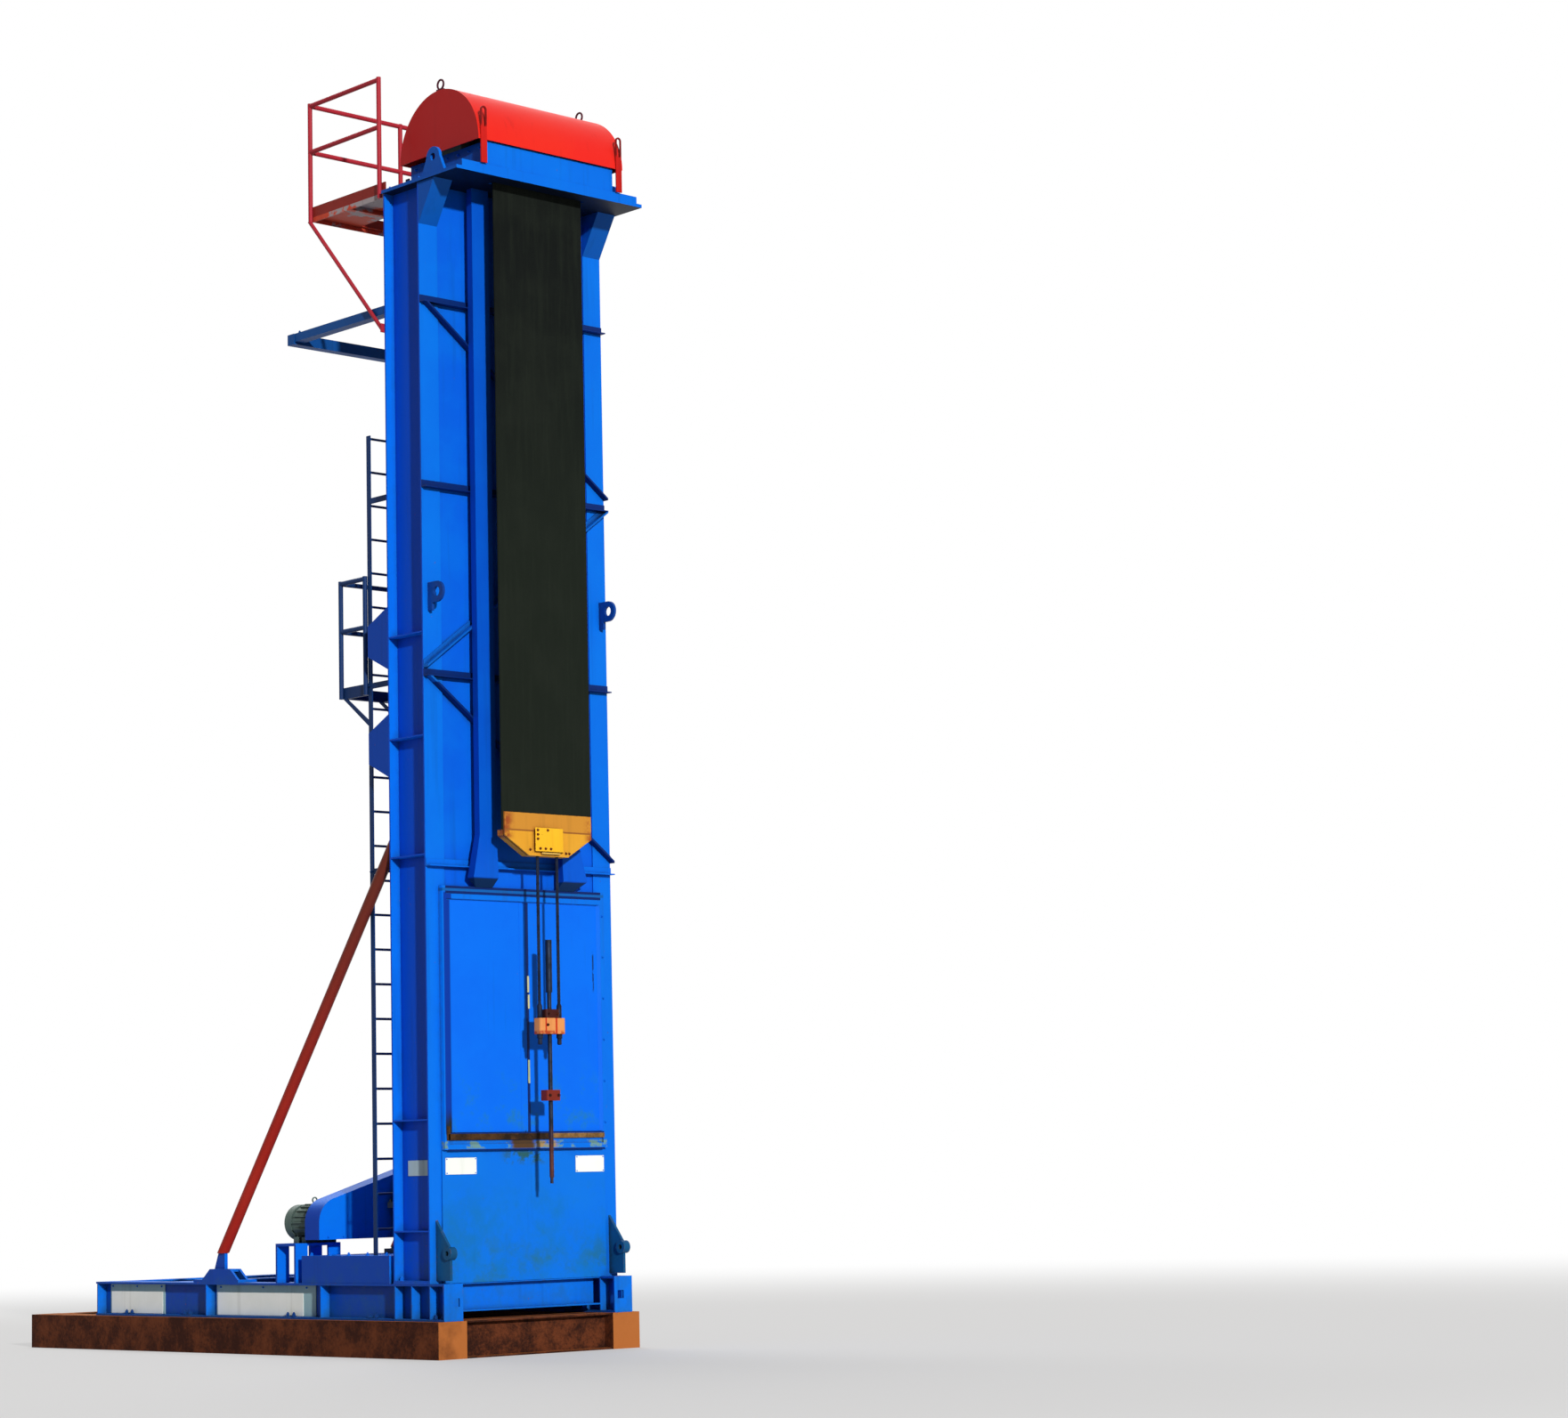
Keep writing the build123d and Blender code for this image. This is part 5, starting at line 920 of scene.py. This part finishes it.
def tread_tree():
    """Geometry Nodes: a field of raised lozenges, turned by turns, as on chequered plate."""
    tree, given, result = tree_of("tread_lugs", (
        ("Centre", "Vector"), ("Size X", "Float"), ("Size Y", "Float"),
        ("Count X", "Int"), ("Count Y", "Int"), ("Finish", "Material")),
        (("Field", "Geometry"),), "GeometryNodeTree")
    grid = add(tree, "GeometryNodeMeshGrid", {
        "Size X": given["Size X"], "Size Y": given["Size Y"], "Vertices X": given["Count X"],
        "Vertices Y": given["Count Y"]})
    moved = add(tree, "GeometryNodeTransform", {"Geometry": grid.outputs[0],
                                                "Translation": given["Centre"]})
    lug = add(tree, "GeometryNodeMeshCube", {"Size": LUG_SIZE})
    odd = math_node(tree, "MODULO", add(tree, "GeometryNodeInputIndex").outputs[0], 2.0)
    lean = math_node(tree, "ADD", times(tree, odd, math.pi / 2), math.pi / 4)
    turn = add(tree, "ShaderNodeCombineXYZ", {"Z": lean}).outputs[0]
    lay_out(tree, moved, lug, turn, given["Finish"], result["Field"])
    return tree


TREAD = tread_tree()


def treads(name, slot, material, top, fields):
    """Raised lugs on a floor, in rectangles of X and Y."""
    def odd_count(length):
        return int(length / TREAD_PITCH / 2) * 2 + 1
    shape = bmesh.new()
    for x0, x1, y0, y1 in fields:
        gather(shape, TREAD, {
            "Centre": ((x0 + x1) / 2, (y0 + y1) / 2, top), "Size X": x1 - x0, "Size Y": y1 - y0,
            "Count X": odd_count(x1 - x0), "Count Y": odd_count(y1 - y0), "Finish": material})
    return settle(piece_of(name, shape, material), slot)


navy = enamel("ladder_navy", (12, 44, 92), (16, 60, 116), (16, 22, 34), chips=0.36, grime=0.6)
finish_node(navy, "ladder_stiles", "ladder_rungs", "ladder_brackets", "landing",
            "landing_posts", "landing_rails")
frame_navy = enamel("rear_frame_navy", (10, 70, 136), (12, 84, 160), (12, 26, 44), chips=0.4,
                    grime=0.7)
finish_node(frame_navy, "rear_frame_arms", "rear_frame_bar")
LANDING_TOP = 5.708
treads("landing_treads", "navy_paint", navy, LANDING_TOP, [(-0.49, -0.03, 0.70, 1.015)])
LOWER_LADDER, UPPER_LADDER = (-0.915, 4.148, 1.625), (-0.45, 7.412, 1.629)
bolts("ladder_bolts", "navy_paint", navy, [
    ((x, y, low), (0, 0, rise), 2, LEFT)
    for x, low, rise in (LOWER_LADDER, UPPER_LADDER) for y in (0.645, 0.665)], head=0.007)
ARM_BOLT_X, ARM_BOLT_Y, ARM_TOP, ARM_PITCH = 0.94, 1.56, 9.085, 0.05
bolts("frame_bolts", "navy_paint", frame_navy, [
    ((side * ARM_BOLT_X, ARM_BOLT_Y, ARM_TOP), (side * ARM_PITCH, 0, 0), 2, UP)
    for side in (-1, 1)], head=0.012)


# Top platform: a plate floor with a toe board and pipe rails around the rear of the deck, on
# two slanted braces, in the red of the hood gone to maroon. Beneath, it is painted a lighter
# orange with grey patches.

finish_node(enamel("rail_maroon", (172, 40, 54), (186, 52, 62), (80, 24, 34), chips=0.3,
                   grime=0.5), "platform_posts", "platform_rails", "platform_braces")
floor_below = band("Z", 9.9, 10.104, 0.001)
platform_red = enamel("platform_red", (136, 38, 30), (160, 48, 36), (84, 30, 24), chips=0.4,
                      grime=0.6, stains=[((206, 76, 52), floor_below),
                                         ((172, 160, 162), floor_below,
                                          patches(2.9, 0.46, 0.52))])
finish_node(platform_red, "top_platform")
PLATFORM_TOP = 10.112
treads("platform_treads", "red_paint", platform_red, PLATFORM_TOP, [
    (-0.965, -0.52, 0.29, 1.29), (0.02, 0.965, 0.29, 1.29), (-0.47, -0.03, 0.29, 0.57)])


# Raking braces: two steel tubes from the rear flanges to ribbed feet on the skid, in red primer
# that has gone brown.

def upper_part(tree, where):
    """A mask that grows with height, up to where the braces meet the tower."""
    height = add(tree, "ShaderNodeSeparateXYZ", {0: where}).outputs["Z"]
    return ramp(tree, height, 1.6, 4.2, 0.0, 0.85)


finish_node(enamel("brace_red", (160, 32, 22), (176, 46, 32), (66, 24, 18), chips=0.3, grime=0.5,
                   runs=0.35, splash=0.05, stains=[((92, 46, 34), upper_part)]),
            "raking_braces")
finish_node(skid_blue, "brace_feet")


# Drive: a welded base with the gear reducer on it, the belt guard behind, and the motor on its
# stand to the left. Sheet and plate in blue, castings in grey-green.

finish_node(skid_blue, "machine_base", "motor_stand")
# The guard's sideways faces are painted darker blue as shade.
finish_node(blue_enamel("guard_blue", chips=0.3, grime=0.6, splash=1.4, sides=(0, 62, 172)),
            "belt_guard")
GUARD_FRONT, GUARD_REAR, GUARD_LOW, BASE_TOP = 1.45, 1.66, 1.012, 0.855
bolts("guard_bolts", "blue_paint", bolt_blue, [
    ((-0.45, GUARD_REAR, GUARD_LOW), (0.119, 0, 0), 9, REAR),
    ((-0.83, GUARD_FRONT, GUARD_LOW), (0.165, 0, 0), 9, FRONT)], head=0.008)
BASE_BOLT_X, BASE_BOLT_Y, BASE_PITCH = 0.97, 0.42, 0.27
bolts("base_bolts", "blue_paint", bolt_blue, [
    ((side * BASE_BOLT_X, BASE_BOLT_Y, BASE_TOP), (0, BASE_PITCH, 0), 5, UP)
    for side in (-1, 1)], head=0.014)

finish_node(machine_grey, "reducer")
SHAFT_Z, REDUCER_X, JOINT_Z, REDUCER_FOOT_Z, BOSS_RADIUS = 1.275, 0.20, 1.30, 0.895, 0.115
bolts("reducer_bolts", "grey_paint", machine_grey, [
    *[((x, y, JOINT_Z), (step, 0, 0), count, UP) for y in (0.5625, 1.3975)
      for x, step, count in ((-0.188, 0.06, 2), (0.375, 0.07, 4))],
    *[((x, 0.64, JOINT_Z), (0, 0.136, 0), 6, UP) for x in (-0.187, 0.587)],
    *[((x, 0.60, REDUCER_FOOT_Z), (0, 0.19, 0), 5, UP) for x in (-0.20, 0.60)]], head=0.012)
bolts("boss_bolts", "grey_paint", machine_grey, [
    ((REDUCER_X + BOSS_RADIUS * math.cos(angle), y, SHAFT_Z + BOSS_RADIUS * math.sin(angle)),
     (0, 0.01, 0), 1, facing)
    for y, facing in ((0.52, FRONT), (1.44, REAR))
    for angle in map(math.radians, range(30, 390, 60))], head=0.010)
BREATHER = ((0.014, 0.0), (0.014, 0.03), (0.028, 0.034), (0.030, 0.06), (0.018, 0.075))
DRAIN_PLUG = ((0.030, 0.0), (0.030, 0.010), (0.022, 0.016))
LID_Y, LID_Z, LID_TOP, LID_SIZE = 0.98, 1.666, 1.672, (0.30, 0.40, 0.012)
LID_BOLT_X, LID_BOLT_Y = 0.125, 0.18
solid("reducer_lid", "grey_paint", machine_grey,
      turned((REDUCER_X + 0.08, 1.24, 1.66), UP, BREATHER),
      turned((-0.17, LID_Y, 1.10), LEFT, DRAIN_PLUG),
      board((REDUCER_X, LID_Y, LID_Z), LID_SIZE, bevel=0.003))
bolts("lid_bolts", "grey_paint", machine_grey, [
    ((REDUCER_X - LID_BOLT_X, LID_Y + side * LID_BOLT_Y, LID_TOP), (2 * LID_BOLT_X, 0, 0), 2, UP)
    for side in (-1, 1)], head=0.009)

motor_green = enamel("motor_green", (84, 104, 98), (110, 128, 118), (34, 38, 34), chips=0.4,
                     grime=0.8)
finish_node(motor_green, "motor")
# Dark rings on the fan cover stand for the shade inside its vent slots: painted shade.
vent_dark = enamel("vent_dark", (18, 20, 20), (26, 28, 28), (12, 12, 12), chips=0.05)
MOTOR_X, MOTOR_Y, MOTOR_Z, FAN_END, VENT_HALF = -0.71, 1.81, 1.14, 2.05, 0.007
solid("motor_vents", "grey_paint", vent_dark, *[
    turned((MOTOR_X, FAN_END, MOTOR_Z), REAR, (
        (radius - VENT_HALF, -0.002), (radius + VENT_HALF, -0.002),
        (radius + VENT_HALF, 0.0015), (radius - VENT_HALF, 0.0015)), sides=40, ring=True)
    for radius in (0.045, 0.072, 0.099, 0.126)])
GLAND = ((0.024, -0.004), (0.024, 0.020), (0.019, 0.024), (0.019, 0.036))
EYE_SHANK = ((0.016, -0.01), (0.016, 0.010))
EYE = ((0.018, -0.005), (0.028, -0.005), (0.028, 0.005), (0.018, 0.005))
BOX_X, BOX_TOP = -0.5625, 1.3235
solid("motor_fittings", "grey_paint", motor_green,
      turned((-0.4875, MOTOR_Y, 1.255), RIGHT, GLAND, sides=12),
      turned((MOTOR_X, MOTOR_Y, 1.302), UP, EYE_SHANK),
      turned((MOTOR_X, MOTOR_Y, 1.335), REAR, EYE, sides=24, ring=True),
      board((BOX_X, MOTOR_Y, BOX_TOP - 0.003), (0.156, 0.156, 0.006), bevel=0.002))
FOOT_BOLTS, BOX_BOLTS = (MOTOR_X, 0.145, 0.06, 1.012), (BOX_X, 0.0625, 0.065, BOX_TOP)
bolts("motor_bolts", "grey_paint", motor_green, [
    ((x - half_x, MOTOR_Y + side * half_y, z), (2 * half_x, 0, 0), 2, UP)
    for x, half_x, half_y, z in (FOOT_BOLTS, BOX_BOLTS) for side in (-1, 1)], head=0.007)


# Floor, light and camera of the picture: a pale floor that keeps the shadow and turns white far
# off, a white studio, a low key lamp at the front and a broad, weaker one from behind.

def seen_directly(tree):
    """1 for what the camera sees, itself or in metal and glass, and 0 for light on the object."""
    path = add(tree, "ShaderNodeLightPath").outputs
    mirrored = math_node(tree, "MAXIMUM", path["Is Glossy Ray"], path["Is Transmission Ray"])
    return math_node(tree, "MAXIMUM", path["Is Camera Ray"], mirrored)


FLOOR_RADIUS, FLOOR_COLOUR, WHITE = 70.0, (0.50, 0.49, 0.48, 1), (1, 1, 1, 1)
FLOOR_SHEEN, FLOOR_ROUGH = 0.5, 0.9
floor_paint, tree, shader, where = new_material("floor_paint", FLOOR_SHEEN)
shader.inputs["Base Color"].default_value = FLOOR_COLOUR
shader.inputs["Roughness"].default_value = FLOOR_ROUGH
far = add(tree, "ShaderNodeVectorMath", {0: where}, operation="LENGTH").outputs["Value"]
glow = add(tree, "ShaderNodeEmission", {"Color": WHITE, "Strength": 1.0})
fade = add(tree, "ShaderNodeMixShader", {
    0: times(tree, ramp(tree, far, 9.0, 30.0, 0.4, 1.0), seen_directly(tree)),
    1: shader.outputs[0], 2: glow.outputs[0]})
tree.links.new(fade.outputs[0], tree.nodes["Material Output"].inputs["Surface"])
floor_shape = bmesh.new()
bmesh.ops.create_circle(floor_shape, cap_ends=True, segments=96, radius=FLOOR_RADIUS)
piece_of("floor", floor_shape, floor_paint)

AMBIENT = 0.10
sky = bpy.data.worlds.new("studio")
bpy.context.scene.world = sky
sky.use_nodes = True
tree = sky.node_tree
plain = tree.nodes["Background"]
plain.inputs["Color"].default_value = WHITE
tree.links.new(math_node(tree, "ADD", AMBIENT, times(tree, seen_directly(tree), 1.0 - AMBIENT)),
               plain.inputs["Strength"])


def sun_lamp(name, azimuth, height, strength, softness):
    """A soft distant lamp, from degrees right of the front and degrees up."""
    lamp = bpy.data.lights.new(name, "SUN")
    lamp.energy = strength
    lamp.angle = math.radians(softness)
    holder = bpy.data.objects.new(name, lamp)
    side, up = math.radians(azimuth), math.radians(height)
    towards = Vector((math.sin(side) * math.cos(up), -math.cos(side) * math.cos(up),
                      math.sin(up)))
    holder.rotation_euler = towards.to_track_quat("Z", "Y").to_euler()
    bpy.context.scene.collection.objects.link(holder)


sun_lamp("key_lamp", azimuth=-20.0, height=16.0, strength=2.98, softness=2.5)
sun_lamp("fill_lamp", azimuth=160.0, height=52.0, strength=1.6, softness=40.0)

VIEW_PLACE = Vector((-19.709, -24.471, 1.423))
YAW, PITCH, ROLL = math.radians(43.3985), math.radians(7.4243), math.radians(-1.3798)
FOCAL_PIXELS, IMAGE_WIDTH, SENSOR, FAR_CLIP = 4048.11, 1761, 36.0, 300
ahead = Vector((math.sin(YAW) * math.cos(PITCH), math.cos(YAW) * math.cos(PITCH),
                math.sin(PITCH)))
level = Vector((math.cos(YAW), -math.sin(YAW), 0))
above = level.cross(ahead)
right = level * math.cos(ROLL) + above * math.sin(ROLL)
up = above * math.cos(ROLL) - level * math.sin(ROLL)
lens = bpy.data.cameras.new("camera")
lens.sensor_width = SENSOR
lens.lens = FOCAL_PIXELS / IMAGE_WIDTH * SENSOR
lens.clip_end = FAR_CLIP
camera = bpy.data.objects.new("camera", lens)
camera.matrix_world = Matrix.Translation(VIEW_PLACE) @ Matrix(
    (right, up, -ahead)).transposed().to_4x4()
bpy.context.scene.collection.objects.link(camera)
bpy.context.scene.camera = camera
bpy.context.scene.view_settings.view_transform = "Standard"
